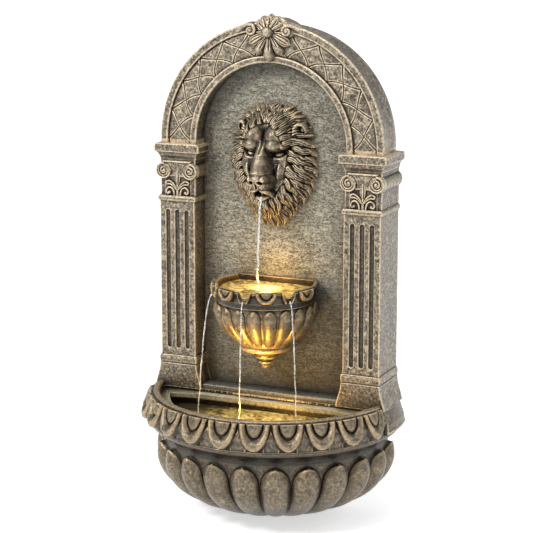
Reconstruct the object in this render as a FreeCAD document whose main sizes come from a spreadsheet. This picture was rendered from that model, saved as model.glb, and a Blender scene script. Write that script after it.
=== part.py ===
import FreeCAD, Part
import math
import os
import Sketcher
from FreeCAD import Placement, Rotation, Vector

# Garden wall fountain. A lion mask on an arched back pours into an upper bowl, whose three lips
# pour into the basin below. A small pump in the basin lifts the water again through a hose
# behind the panel, and a light stands in each of the two bowls.
# The origin is the middle of the basin's foot, on the axis that the basin is turned about.
# +Z is up, +Y points to the wall, and +X is to the right of someone facing the fountain.

SIZES = (
    ("axis_to_wall", 45.0, "basin axis to the wall face"),
    ("cast_wall", 8.0, "thickness of the cast walls"),
    ("seat_gap", 0.4, "clearance round a piece that drops into a recess"),
    ("hole_gap", 0.3, "radial clearance of a screw or lead in its hole"),
    ("run_gap", 0.05, "radial clearance of a turning fit"),
    ("foot_radius", 51.0, "radius of the basin's flat foot"),
    ("belly_radius", 193.0, "largest radius over the basin's gadroons"),
    ("belly_height", 94.0, "height of that largest radius"),
    ("neck_radius", 182.0, "radius of the basin's neck"),
    ("neck_height", 122.0, "height of the basin's neck"),
    ("rim_radius", 209.0, "radius of the plain rim under its leaves"),
    ("rim_low", 158.0, "height of the rim's lower edge"),
    ("crest_radius", 193.0, "radius of the basin's crest"),
    ("deck_height", 190.0, "height of the basin's rear deck"),
    ("crest_rise", 9.0, "height of the crest over the deck"),
    ("mouth_radius", 185.0, "radius of the basin's mouth"),
    ("floor_height", 36.0, "height of the basin's floor inside"),
    ("ledge_drop", 5.0, "deck to the top of the ledge inside the mouth"),
    ("ledge_thick", 8.0, "thickness of the ledge"),
    ("ledge_reach", 15.0, "reach of the ledge from the mouth's wall"),
    ("ledge_corner", 24.0, "corner radius of the ledge"),
    ("lobe_depth", 8.5, "height of the basin's gadroons over its wall"),
    ("leaf_pitch", 14.4, "angle from one rim leaf to the next, degrees"),
    ("leaf_width", 46.0, "width of a rim leaf"),
    ("leaf_length", 45.0, "length of a rim leaf down the rim's slope"),
    ("leaf_thick", 6.5, "height of a rim leaf over the rim"),
    ("pilaster_out", 188.7, "outer side of a pilaster's shaft from the middle"),
    ("pilaster_in", 127.5, "inner side of a pilaster's shaft from the middle"),
    ("pilaster_depth", 79.0, "front of a pilaster from the wall"),
    ("plinth_spread", 8.5, "spread of a pilaster's flared foot"),
    ("plinth_height", 39.0, "height of the flared foot"),
    ("band_height", 14.0, "height of the band over the flared foot"),
    ("band_proud", 2.5, "band and astragal over the shaft"),
    ("shaft_height", 253.0, "height of the fluted shaft"),
    ("astragal_height", 9.0, "height of the astragal"),
    ("capital_height", 58.0, "height of the scrolled capital"),
    ("cavetto_height", 12.0, "height of the hollow under the abacus"),
    ("abacus_height", 13.0, "height of the abacus"),
    ("abacus_proud", 9.0, "abacus over the shaft, to the sides"),
    ("flute_width", 7.8, "width of a flute"),
    ("flute_depth", 3.4, "depth of a flute"),
    ("flute_pitch", 16.3, "distance from one flute to the next"),
    ("volute_radius", 11.5, "radius of a capital's volute"),
    ("volute_inset", 7.5, "volute's centre from the shaft's side"),
    ("arch_rise", 6.7, "arch's centre over the abacus"),
    ("arch_outer", 190.0, "outer radius of the arch at its front"),
    ("arch_back", 183.0, "outer radius of the arch at the wall"),
    ("arch_inner", 127.5, "inner radius of the arch"),
    ("arch_depth", 71.4, "front of the arch from the wall"),
    ("outer_band", 12.7, "width of the arch's outer band"),
    ("inner_band", 10.8, "width of the arch's inner band"),
    ("frieze_drop", 5.5, "depth of the frieze between the bands"),
    ("lattice_pitch", 15.7, "angle from one lattice diamond to the next, degrees"),
    ("lattice_start", 27.05, "angle of the first diamond each side of the shell, degrees"),
    ("lattice_gap", 3.4, "width of the line between two diamonds"),
    ("panel_depth", 41.0, "front of the panel from the wall"),
    ("panel_thick", 7.0, "thickness of the panel"),
    ("sill_depth", 73.0, "front of the sill from the wall"),
    ("flange_thick", 8.0, "thickness of the flange that stands on the deck"),
    ("cover_thick", 3.5, "thickness of the two rear covers"),
    ("cover_screw", 1.75, "radius of a cover screw"),
    ("boss_radius", 6.0, "radius of a screw boss"),
    ("bay_half", 160.0, "half width of the bay behind the basin"),
    ("bay_low", 84.0, "height of the bay's floor"),
    ("window_left", 62.0, "hose window in the deck, left of the middle"),
    ("window_right", 84.0, "hose window in the deck, right of the middle"),
    ("window_depth", 26.0, "hose window in the deck, front to back"),
    ("bolt_radius", 3.0, "radius of a bolt between basin and back"),
    ("bolt_near", 104.0, "inner bolts from the middle"),
    ("bolt_far", 150.0, "outer bolts from the middle"),
    ("bowl_forward", 85.5, "upper bowl's axis from the wall"),
    ("bowl_radius", 82.5, "largest radius over the bowl's gadroons"),
    ("bowl_crest", 380.0, "height of the bowl's crest"),
    ("bowl_crest_radius", 79.0, "radius of the bowl's crest"),
    ("bowl_rim_radius", 84.5, "radius of the bowl's plain rim"),
    ("bowl_wall", 6.0, "thickness of the bowl's wall"),
    ("bowl_lobe_depth", 5.0, "height of the bowl's gadroons over its wall"),
    ("bowl_leaf_pitch", 24.5, "angle from a bowl leaf to the next lip, degrees"),
    ("bowl_leaf_width", 33.0, "width of a bowl leaf"),
    ("bowl_leaf_length", 24.0, "length of a bowl leaf down the slope"),
    ("bowl_leaf_thick", 4.5, "height of a bowl leaf over the rim"),
    ("lip_radius", 8.0, "radius of the channel in a pouring lip"),
    ("mask_height", 560.0, "height of the lion mask's middle"),
    ("mane_half", 69.0, "half width of the mane"),
    ("mane_rise", 92.0, "half height of the mane"),
    ("mask_forward", 79.0, "nose tip from the panel"),
    ("mouth_drop", 38.0, "mask's middle down to the mouth's middle"),
    ("spout_radius", 6.0, "outer radius of the spout pipe"),
    ("spout_bore", 4.5, "inner radius of the spout pipe"),
    ("shell_boss", 770.0, "height of the shell ornament's boss"),
    ("shell_leaf", 46.0, "length of the ornament's lower leaves"),
    ("shell_fan", 26.0, "length of the ornament's upper fan"),
    ("hose_radius", 6.5, "outer radius of the riser hose"),
    ("hose_bore", 4.5, "inner radius of the riser hose"),
    ("hose_bend", 38.0, "bend radius of the riser hose"),
    ("hose_pass", 138.0, "height at which the hose goes through the wall"),
    ("riser_back", 24.0, "riser hose behind the basin axis"),
    ("lead_radius", 1.75, "radius of an inner lead"),
    ("lead_bend", 11.0, "bend radius of an inner lead"),
    ("lead_pass", 112.0, "height at which the leads go through the wall"),
    ("pump_long", 50.0, "length of the pump housing"),
    ("pump_wide", 40.0, "width of the pump housing"),
    ("pump_high", 40.0, "height of the pump housing"),
    ("pump_right", 5.0, "right end of the pump housing from the middle"),
    ("pump_front", 82.0, "pump's axis in front of the basin axis"),
    ("cup_height", 6.0, "height of the pump's suction cups"),
    ("cup_radius", 6.0, "radius of a suction cup"),
    ("chamber_radius", 15.0, "radius of the impeller chamber"),
    ("chamber_depth", 11.0, "depth of the impeller chamber"),
    ("rotor_radius", 8.0, "radius of the rotor magnet"),
    ("rotor_long", 22.0, "length of the rotor magnet"),
    ("impeller_radius", 13.0, "radius of the impeller"),
    ("shaft_radius", 1.25, "radius of the ceramic shaft"),
    ("intake_thick", 11.0, "thickness of the intake cover"),
    ("knob_radius", 7.0, "radius of the flow knob"),
    ("puck_radius", 20.0, "radius of a light"),
    ("puck_height", 14.0, "height of a light's housing"),
    ("lens_thick", 3.0, "thickness of a light's lens"),
    ("light_front", 42.0, "upper light in front of the basin axis"),
    ("light_base", 356.0, "height of the upper light's seat"),
    ("low_light_x", 45.0, "lower light right of the middle"),
    ("low_light_front", 76.0, "lower light in front of the basin axis"),
    ("splice_left", 4.0, "left end of the splice box from the middle"),
    ("splice_long", 66.0, "length of the splice box"),
    ("splice_deep", 20.0, "depth of the splice box"),
    ("splice_high", 34.0, "height of the splice box"),
    ("gland_x", 100.0, "cord gland left of the middle"),
    ("gland_back", 15.5, "cord gland's axis from the wall"),
    ("gland_bore", 3.5, "radius of the cord gland's bore"),
    ("gland_body", 8.0, "radius of the cord gland's body"),
    ("hanger_x", 74.0, "hanger plates from the middle"),
    ("hanger_height", 690.0, "height of the hanger plates' middle"),
    ("hanger_wide", 32.0, "width of a hanger plate"),
    ("hanger_long", 62.0, "length of a hanger plate"),
    ("hanger_thick", 2.5, "thickness of a hanger plate"),
    ("key_head", 5.5, "radius of a keyhole's round end"),
    ("key_slot", 2.75, "half width of a keyhole's slot"),
    ("key_rise", 12.0, "round end up to the slot's end"),
)

doc = FreeCAD.newDocument("wall_fountain")
sheet = doc.addObject("Spreadsheet::Sheet", "sizes")
for row, (alias, number, note) in enumerate(SIZES, 1):
    sheet.set(f"A{row}", note)
    sheet.set(f"B{row}", str(number))
    sheet.setAlias(f"B{row}", alias)
doc.recompute()


def text_of(number):
    """A size's own expression, or a plain number as text."""
    return number.text if isinstance(number, Size) else repr(float(number))


class Size(float):
    """A number that keeps the sheet expression it came from."""

    def __new__(cls, number, text):
        size = super().__new__(cls, number)
        size.text = text
        return size

    def __add__(self, other):
        return Size(float(self) + float(other), f"({self.text} + {text_of(other)})")

    def __radd__(self, other):
        return Size(float(other) + float(self), f"({text_of(other)} + {self.text})")

    def __sub__(self, other):
        return Size(float(self) - float(other), f"({self.text} - {text_of(other)})")

    def __rsub__(self, other):
        return Size(float(other) - float(self), f"({text_of(other)} - {self.text})")

    def __mul__(self, other):
        return Size(float(self) * float(other), f"({self.text} * {text_of(other)})")

    def __rmul__(self, other):
        return Size(float(other) * float(self), f"({text_of(other)} * {self.text})")

    def __truediv__(self, other):
        return Size(float(self) / float(other), f"({self.text} / {text_of(other)})")

    def __neg__(self):
        return Size(-float(self), f"(-{self.text})")


class Sheet:
    """The sheet's cells as attributes."""

    def __getattr__(self, alias):
        return Size(sheet.get(alias), f"sizes.{alias}")


S = Sheet()
X, Y, Z = Vector(1, 0, 0), Vector(0, 1, 0), Vector(0, 0, 1)
ORIGIN = Vector(0, 0, 0)
NODES = []
BASIN_LOBES = 23
BOWL_LOBES = 19
LATTICE_COUNT = 5
PEG_SIDES = 8

# Places that several pieces share

WALL = S.axis_to_wall
PANEL_FRONT = WALL - S.panel_depth
PANEL_BACK = PANEL_FRONT + S.panel_thick
SILL_FRONT = WALL - S.sill_depth
PARTITION_FRONT = SILL_FRONT - 2.0
PARTITION_BACK = PARTITION_FRONT + S.cast_wall
PILASTER_FRONT = WALL - S.pilaster_depth
ARCH_FRONT = WALL - S.arch_depth
FLANGE_TOP = S.deck_height + S.flange_thick
BAND_LOW = S.deck_height + S.plinth_height
SHAFT_LOW = BAND_LOW + S.band_height
SHAFT_TOP = SHAFT_LOW + S.shaft_height
CAPITAL_LOW = SHAFT_TOP + S.astragal_height
CAPITAL_TOP = CAPITAL_LOW + S.capital_height
ABACUS_LOW = CAPITAL_TOP + S.cavetto_height
ABACUS_TOP = ABACUS_LOW + S.abacus_height
ARCH_CENTRE = ABACUS_TOP + S.arch_rise
COVER_FRONT = WALL - S.cover_thick
CREST = S.deck_height + S.crest_rise
LEDGE_TOP = S.deck_height - S.ledge_drop
BOWL_AXIS = WALL - S.bowl_forward
BOWL_BACK = PANEL_FRONT - S.bowl_wall
SPOUT_HEIGHT = S.mask_height - S.mouth_drop
SPOUT_END = PANEL_FRONT - 0.62 * S.mask_forward
PUMP_LOW = S.floor_height + S.cup_height
PUMP_AXIS = PUMP_LOW + S.pump_high / 2
PUMP_LEFT = S.pump_right - S.pump_long
PUMP_Y = -S.pump_front
OUTLET_X = PUMP_LEFT + S.chamber_depth / 2 + 1.0
PUMP_TOP = PUMP_LOW + S.pump_high
SPLICE_LOW = S.lead_pass - 16.0
LIGHT_Y = -S.light_front
LOW_LIGHT_Y = -S.low_light_front
GLAND_Y = WALL - S.gland_back
GLAND_LOW = S.bay_low - 14.0


# Helpers for bodies, sketches and plain solids


def keep(piece):
    """Counts a piece as a node, and returns it."""
    NODES.append(piece)
    return piece


def bind(thing, path, size):
    """Binds one property to the sheet, or sets it where the size is plain."""
    if isinstance(size, Size):
        thing.setExpression(path, size.text)


def place(piece, x, y, z, rotation=Rotation()):
    """Sets a piece down at x, y, z, which follow the sheet."""
    piece.Placement = Placement(Vector(x, y, z), rotation)
    bind(piece, "Placement.Base.x", x)
    bind(piece, "Placement.Base.y", y)
    bind(piece, "Placement.Base.z", z)
    return piece


def new_body(label):
    body = doc.addObject("PartDesign::Body", label)
    body.Label = label
    return body


def new_sketch(body, role, name, lift=0.0):
    """A sketch on one of the body's own origin planes, lifted along its normal."""
    sketch = body.newObject("Sketcher::SketchObject", name)
    plane = next(f for f in body.Origin.OriginFeatures if f.Role == role)
    sketch.AttachmentSupport = [(plane, "")]
    sketch.MapMode = "FlatFace"
    sketch.AttachmentOffset = Placement(Vector(0, 0, lift), Rotation())
    bind(sketch, "AttachmentOffset.Base.z", lift)
    return sketch


def pin_point(sketch, geometry, end, x, y):
    """Ties one point of a sketch to x and y, which follow the sheet."""
    for kind, axis, size in (("DistanceX", -2, x), ("DistanceY", -1, y)):
        if float(size) == 0.0:
            sketch.addConstraint(Sketcher.Constraint("PointOnObject", geometry, end, axis))
            continue
        made = sketch.addConstraint(
            Sketcher.Constraint(kind, -1, 1, geometry, end, float(size))
        )
        bind(sketch, f"Constraints[{made}]", size)


def draw_polygon(sketch, corners):
    """A closed outline of straight lines."""
    first = sketch.GeometryCount
    count = len(corners)
    for i, (x, y) in enumerate(corners):
        end = corners[(i + 1) % count]
        sketch.addGeometry(Part.LineSegment(Vector(x, y, 0), Vector(end[0], end[1], 0)))
    for i in range(count):
        following = first + (i + 1) % count
        sketch.addConstraint(Sketcher.Constraint("Coincident", first + i, 2, following, 1))
    for i, (x, y) in enumerate(corners):
        pin_point(sketch, first + i, 1, x, y)


def draw_circle(sketch, x, y, radius):
    made = sketch.addGeometry(Part.Circle(Vector(x, y, 0), Z, float(radius)))
    pin_point(sketch, made, 3, x, y)
    size = sketch.addConstraint(Sketcher.Constraint("Radius", made, float(radius)))
    bind(sketch, f"Constraints[{size}]", radius)


def rectangle(x0, x1, y0, y1):
    return [(x0, y0), (x1, y0), (x1, y1), (x0, y1)]


def pad(body, sketch, length, name, reverse=False):
    feature = body.newObject("PartDesign::Pad", name)
    feature.Profile = sketch
    feature.Length = float(length)
    feature.Reversed = reverse
    bind(feature, "Length", length)
    return feature


def pocket(body, sketch, name, length=None, reverse=False):
    """A pocket of the given depth, or through everything."""
    feature = body.newObject("PartDesign::Pocket", name)
    feature.Profile = sketch
    feature.Reversed = reverse
    if length is None:
        feature.Type = 1
        feature.Midplane = True
    else:
        feature.Length = float(length)
        bind(feature, "Length", length)
    return feature


def draw_ring(sketch, sides, radius):
    """An even polygon about the sketch's origin."""
    turns = [2 * math.pi * (i + 0.5) / sides for i in range(sides)]
    draw_polygon(sketch, [(radius * math.cos(a), radius * math.sin(a)) for a in turns])


def stepped(label, steps, sides=PEG_SIDES):
    """A body of many-sided steps up its own Z: low, high, radius at low, radius at high."""
    body = new_body(label)
    for i, (low, high, radius_low, radius_high) in enumerate(steps):
        base = new_sketch(body, "XY_Plane", f"{label}_ring{i}", low)
        draw_ring(base, sides, radius_low)
        if radius_low == radius_high:
            pad(body, base, high - low, f"{label}_step{i}")
            continue
        top = new_sketch(body, "XY_Plane", f"{label}_top{i}", high)
        draw_ring(top, sides, radius_high)
        loft = body.newObject("PartDesign::AdditiveLoft", f"{label}_taper{i}")
        loft.Profile = base
        loft.Sections = [top]
        loft.Ruled = True
    return body


def turned(label, corners):
    """A body turned about its own Z axis from (radius, height) corners."""
    body = new_body(label)
    sketch = new_sketch(body, "XZ_Plane", f"{label}_profile")
    draw_polygon(sketch, corners)
    feature = body.newObject("PartDesign::Revolution", f"{label}_turn")
    feature.Profile = sketch
    feature.ReferenceAxis = (sketch, ["V_Axis"])
    feature.Angle = 360
    return body


def shaped(label, shape):
    """A node whose solid is made by the functions below."""
    piece = doc.addObject("Part::Feature", label)
    piece.Label = label
    piece.Shape = shape
    piece.Placement = Placement()
    return keep(piece)


def group(label, master, places):
    """Separate copies of one solid in one node."""
    solid = master.Shape.copy()
    solid.Placement = Placement()
    copies = [solid.transformed(spot.toMatrix()) for spot in places]
    return shaped(label, Part.makeCompound(copies))


def box(x0, x1, y0, y1, z0, z1):
    return Part.makeBox(x1 - x0, y1 - y0, z1 - z0, Vector(x0, y0, z0))


def rod(radius, start, end):
    """A cylinder from one point to another."""
    return Part.makeCylinder(radius, (end - start).Length, start, end - start)


def cone(radius0, radius1, start, end):
    return Part.makeCone(radius0, radius1, (end - start).Length, start, end - start)


def ring_of_points(radius, sides, height=0.0):
    """Corners of an even polygon about Z, with a flat side towards +X."""
    turns = [2 * math.pi * (i + 0.5) / sides for i in range(sides)]
    return [Vector(radius * math.cos(a), radius * math.sin(a), height) for a in turns]


def peg(radius, start, end, sides=PEG_SIDES, end_radius=None):
    """A many-sided rod or taper, for small things that repeat."""
    run = end - start
    tip = radius if end_radius is None else end_radius
    wires = []
    for size, height in ((radius, 0.0), (tip, run.Length)):
        points = ring_of_points(size, sides, height)
        wires.append(Part.makePolygon([*points, points[0]]))
    solid = Part.makeLoft(wires, True, True)
    solid.Placement = Placement(start, Rotation(Z, run))
    return solid


def mirrored(shape):
    """The same shape on the other side of the middle."""
    return shape.mirror(ORIGIN, X)


def both_sides(shape):
    return [shape, mirrored(shape)]


def face_of(points):
    return Part.Face(Part.makePolygon([*points, points[0]]))


def turned_about(shape, centre, angle, axis=Z):
    copy = shape.copy()
    copy.rotate(centre, axis, angle)
    return copy


def spread(count, pitch):
    """Angles of a row of copies, even about the front."""
    return [(i - (count - 1) / 2) * pitch for i in range(count)]


# Turned bowls with gadroons and leaves


def line(start, end):
    return Part.LineSegment(Vector(start[0], 0, start[1]), Vector(end[0], 0, end[1])).toShape()


def turned_solid(outline):
    """A solid turned about Z from a closed outline of (radius, height) corners."""
    closed = [*outline, outline[0]]
    edges = [line(a, b) for a, b in zip(closed, closed[1:])]
    return Part.Face(Part.Wire(edges)).revolve(ORIGIN, Z, 360)


def scalloped_wire(count, valley, crest, height):
    """A closed row of arcs about Z, with a valley at the front."""
    pitch = 2 * math.pi / count

    def at(radius, turn):
        return Vector(radius * math.sin(turn), -radius * math.cos(turn), height)

    arcs = []
    for i in range(count):
        middle = at(crest, (i + 0.5) * pitch)
        arcs.append(Part.Arc(at(valley, i * pitch), middle, at(valley, (i + 1) * pitch)).toShape())
    return Part.Wire(arcs)


def gadrooned(count, stations):
    """A solid loft through scalloped sections of (height, valley radius, crest radius)."""
    wires = [scalloped_wire(count, valley, crest, z) for z, valley, crest in stations]
    return Part.makeLoft(wires, True, True)


def inset_outline(points, inset):
    """The same outline moved inward, square to its own run."""
    moved = []
    for i, (r, z) in enumerate(points):
        r0, z0 = points[max(i - 1, 0)]
        r1, z1 = points[min(i + 1, len(points) - 1)]
        run = math.hypot(r1 - r0, z1 - z0)
        moved.append((r - inset * (z1 - z0) / run, z + inset * (r1 - r0) / run))
    return moved


def swell(root, out, up, stations, sides=7):
    """A faceted pod along a line: stations are distance, half width and half height."""
    across = out.cross(up)
    wires = []
    for distance, half_wide, half_high in stations:
        centre = root + out * distance
        points = []
        for i in range(sides):
            turn = 2 * math.pi * (i + 0.5) / sides
            points.append(
                centre + across * (half_wide * math.cos(turn)) + up * (half_high * math.sin(turn))
            )
        wires.append(Part.makePolygon([*points, points[0]]))
    return Part.makeLoft(wires, True, True)


POD = ((-1.0, 0.15), (-0.72, 0.70), (-0.15, 1.0), (0.45, 0.88), (0.82, 0.56), (1.0, 0.15))


def pod(centre, along, half_long, half_wide, up, half_high, sides=7):
    """A faceted egg with its long axis in any direction."""
    stations = [(half_long * at, half_wide * size, half_high * size) for at, size in POD]
    return swell(centre, along, up, stations, sides)


def tongue(width, length, thick):
    """A flat leaf: square at its top, round at its tip, its face along +Z, its tip along -Y."""
    half = width / 2
    points = [Vector(half, 0, 0), Vector(-half, 0, 0)]
    for i in range(7):
        turn = math.pi * i / 6
        points.append(Vector(-half * math.cos(turn), -(length - half) - half * math.sin(turn), 0))
    return face_of(points).extrude(Vector(0, 0, thick))


def slope_frame(crest_radius, crest_height, rim_radius, rim_height):
    """The placement of the rim's slope at the front: X across, Y up the slope, Z outward."""
    run, drop = rim_radius - crest_radius, crest_height - rim_height
    up = Vector(0, run, drop).normalize()
    out = Vector(0, -drop, run).normalize()
    return Placement(Vector(0, -crest_radius, crest_height), Rotation(X, up, out, "ZXY"))


def egg_leaf(width, length, thick, sunk):
    """A tongue with an egg raised on it."""
    slab = tongue(width, length, thick + sunk).translate(Vector(0, 0, -sunk))
    middle = Vector(0, -0.46 * length, 0.75 * thick)
    return slab.fuse(pod(middle, -Y, 0.34 * length, 0.25 * width, Z, 0.6 * thick))


def dart(width, length, thick, sunk):
    """The pointed filler between two leaves."""
    outline = [
        Vector(-width / 2, -0.30 * length, -sunk),
        Vector(0, -length, -sunk),
        Vector(width / 2, -0.30 * length, -sunk),
    ]
    return face_of(outline).extrude(Vector(0, 0, thick + sunk))


# The basin


def basin_stations():
    """Height, valley radius and crest radius from the basin's foot to its neck."""
    low, high = S.foot_radius, S.belly_radius - S.lobe_depth
    stations = []
    for share, fill in ((0.0, 0.25), (0.09, 0.75), (0.24, 1.0), (0.45, 1.0), (0.70, 1.0), (1.0, 1.0)):
        rise = (1 - (1 - share) ** 2.7) ** 0.85
        valley = low + (high - low) * rise
        stations.append((S.belly_height * share, valley, valley + S.lobe_depth * fill))
    shoulder = S.neck_height - S.belly_height
    for share, fill in ((0.45, 0.88), (0.78, 0.55), (1.0, 0.06)):
        valley = high + (S.neck_radius - high) * share
        stations.append((S.belly_height + shoulder * share, valley, valley + S.lobe_depth * fill))
    return stations


def round_corners(solid, radius):
    """Rounds the upright edges of a solid."""
    upright = [e for e in solid.Edges if abs(e.tangentAt(e.FirstParameter).z) > 0.999]
    return solid.makeFillet(radius, upright)


def mouth_shape(radius, back, low, high):
    """A round mouth cut off straight at the back."""
    disc = Part.makeCylinder(radius, high - low, Vector(0, 0, low))
    return disc.common(box(-radius, radius, -radius, back, low, high))


def make_basin():
    stations = basin_stations()
    belly = gadrooned(BASIN_LOBES, stations)
    rim = turned_solid(
        [
            (0, S.neck_height - 2),
            (S.neck_radius - 1, S.neck_height - 2),
            (S.neck_radius + 1, S.neck_height + 5),
            (S.rim_radius - 10, S.rim_low - 15),
            (S.rim_radius - 4, S.rim_low),
            (S.rim_radius, S.rim_low + 5),
            (S.crest_radius + 3, CREST - 3),
            (S.crest_radius, CREST),
            (0, CREST),
        ]
    )
    slope = slope_frame(S.crest_radius + 3, CREST - 3, S.rim_radius, S.rim_low + 5)
    leaf = egg_leaf(S.leaf_width, S.leaf_length, S.leaf_thick, 6.0)
    point = dart(12.0, S.leaf_length * 0.94, S.leaf_thick * 0.5, 5.0)
    for piece in (leaf, point):
        piece.Placement = slope
    leaves = [turned_about(leaf, ORIGIN, a) for a in spread(11, S.leaf_pitch)]
    darts = [turned_about(point, ORIGIN, a) for a in spread(12, S.leaf_pitch)]
    body = belly.fuse([rim, *leaves, *darts])

    reach = S.rim_radius + 60
    behind = box(-reach, reach, WALL, reach, -1, CREST + 1)
    plinth_front = PILASTER_FRONT - S.band_proud - S.seat_gap
    deck_back = box(-reach, reach, plinth_front, reach, S.deck_height, CREST + 1)
    wall = [(r, z) for z, r, _ in stations]
    inner = [p for p in inset_outline(wall, S.cast_wall) if p[1] > S.floor_height][:-1]
    undercut = LEDGE_TOP - S.ledge_thick
    below = (inner[0][0] - 16.0, S.floor_height)
    hollow = turned_solid(
        [
            (0, S.floor_height),
            below,
            *inner,
            (S.neck_radius - S.cast_wall, S.neck_height + 6),
            (S.mouth_radius - 2, S.rim_low - 6),
            (S.mouth_radius, undercut),
            (0, undercut),
        ]
    )
    wide = S.mouth_radius + 30
    water_space = hollow.common(box(-wide, wide, -wide, PARTITION_FRONT, 0, undercut))
    reach_in = S.ledge_reach
    ledge_hole = mouth_shape(S.mouth_radius - reach_in, PARTITION_FRONT - reach_in,
                             undercut - 1, LEDGE_TOP + 1)
    ledge_hole = round_corners(ledge_hole, S.ledge_corner)
    mouth = mouth_shape(S.mouth_radius, PARTITION_FRONT, LEDGE_TOP, CREST + 1)
    bay = hollow.common(box(-S.bay_half, S.bay_half, PARTITION_BACK, WALL + 1, S.bay_low,
                            S.deck_height - S.cast_wall))
    window = box(-S.window_left, S.window_right, PANEL_BACK,
                 PANEL_BACK + S.window_depth, S.deck_height - 20, S.deck_height + 1)
    bay_top = box(-S.bay_half, S.bay_half, PARTITION_BACK, WALL + 1, undercut - 1,
                  S.deck_height - S.cast_wall)
    body = body.cut([behind, deck_back, water_space, ledge_hole, mouth, bay, bay_top, window,
                     access_seat()])

    holes = [rod(bulkhead_neck(), Vector(OUTLET_X, PARTITION_FRONT - 1, S.hose_pass),
                 Vector(OUTLET_X, PARTITION_BACK + 1, S.hose_pass))]
    for x in lead_places():
        start = Vector(x, PARTITION_FRONT - 1, S.lead_pass)
        holes.append(rod(grommet_neck(), start, start + Y * (S.cast_wall + 2)))
    for x, y in bolt_places():
        top = Vector(x, y, S.deck_height + 1)
        holes.append(peg(S.bolt_radius + S.hole_gap, top - Z * 20, top))
    for spot in access_screw_places():
        holes.append(peg(S.cover_screw + S.run_gap, spot + Y, spot - Y * 12))
    gland = Vector(-S.gland_x, GLAND_Y, GLAND_LOW - 1)
    holes.append(rod(S.gland_body + S.run_gap, gland, gland + Z * 20))
    holes.append(box(-S.gland_x - 12, -S.gland_x + 12, GLAND_Y - 12, WALL + 1, -1, GLAND_LOW))
    return body.cut(holes)


def bulkhead_neck():
    return S.hose_radius + 3.0


def grommet_neck():
    return S.lead_radius + 2.5


def lead_places():
    """Where the pump's lead and the lower light's lead go through the wall."""
    return S.splice_left + 18.0, S.low_light_x


def bolt_places():
    y = (PANEL_BACK + COVER_FRONT) / 2 - 1
    return [(side * x, y) for x in (S.bolt_near, S.bolt_far) for side in (-1, 1)]


# The access cover over the bay behind the basin

ACCESS_HALF = S.bay_half - 6.0
ACCESS_LOW = S.bay_low - 10.0
ACCESS_HIGH = S.deck_height - 1.0


def access_seat():
    """The recess that the access cover drops into."""
    gap = S.seat_gap
    return box(-ACCESS_HALF - gap, ACCESS_HALF + gap, COVER_FRONT, WALL + 1,
               ACCESS_LOW - gap, ACCESS_HIGH + 5)


def access_screw_places():
    inset = 6.0
    xs = (-(ACCESS_HALF - inset), -ACCESS_HALF / 3, ACCESS_HALF / 3, ACCESS_HALF - inset)
    return [Vector(x, COVER_FRONT, ACCESS_LOW + 5.0) for x in xs]


# The arched back


def arch_band(corners, low):
    """A section of (radius, depth) corners turned over the arch, with its legs carried down."""
    points = [Vector(r, y, ARCH_CENTRE) for r, y in corners]
    section = face_of(points)
    centre = Vector(0, 0, ARCH_CENTRE)
    bow = section.revolve(centre, Y, -180)
    leg = section.extrude(Vector(0, 0, low - ARCH_CENTRE))
    return bow.fuse(both_sides(leg))


def half_round_top(half_width, y0, y1, low):
    """A flat slab with straight sides and a round top."""
    disc = rod(half_width, Vector(0, y0, ARCH_CENTRE), Vector(0, y1, ARCH_CENTRE))
    return disc.fuse(box(-half_width, half_width, y0, y1, low, ARCH_CENTRE))


def lattice_diamond():
    """One puffed diamond of the frieze, at the top of the arch."""
    outer = S.arch_outer - S.outer_band
    inner = S.arch_inner + S.inner_band
    middle = (outer + inner) / 2
    floor = ARCH_FRONT + S.frieze_drop
    half_turn = math.radians(S.lattice_pitch / 2)
    half_wide = middle * half_turn - S.lattice_gap / 2
    half_high = (outer - inner) / 2 - S.lattice_gap / 2
    wires = []
    for shrink, y in ((1.0, floor + 2), (1.0, floor - 1.2), (0.62, floor - 3.6)):
        corners = [(half_wide, 0), (0, half_high), (-half_wide, 0), (0, -half_high)]
        points = [Vector(x * shrink, y, ARCH_CENTRE + middle + z * shrink) for x, z in corners]
        wires.append(Part.makePolygon([*points, points[0]]))
    return Part.makeLoft(wires, True, True)


def slab_loft(sections):
    """A ruled loft through flat rectangles, each given as x0, x1, y0, y1 and its height."""
    wires = []
    for x0, x1, y0, y1, z in sections:
        points = [Vector(x0, y0, z), Vector(x1, y0, z), Vector(x1, y1, z), Vector(x0, y1, z)]
        wires.append(Part.makePolygon([*points, points[0]]))
    return Part.makeLoft(wires, True, True)


def flare(low, high, spread_low, spread_high, steps, hollow):
    """A pilaster's block that widens towards one end along a hollow curve."""
    sections = []
    for i in range(steps + 1):
        share = i / steps
        turn = (1 - math.cos(share * math.pi / 2)) if hollow else share
        proud = spread_low + (spread_high - spread_low) * turn
        sections.append(
            (
                S.pilaster_in - proud,
                S.pilaster_out + proud,
                PILASTER_FRONT - S.band_proud * (1.0 if proud > 0 else 0.0),
                float(WALL),
                low + (high - low) * share,
            )
        )
    return slab_loft(sections)


def roll(low, high, proud):
    """A band with a rounded face that runs round a pilaster's front and sides."""
    middle, half = (low + high) / 2, (high - low) / 2
    sections = []
    for angle in (-90, -45, -15, 15, 45, 90):
        out = proud * math.cos(math.radians(angle))
        z = middle + half * math.sin(math.radians(angle))
        sections.append(
            (S.pilaster_in - out, S.pilaster_out + out, PILASTER_FRONT - out, float(WALL), z)
        )
    return slab_loft(sections)


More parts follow.
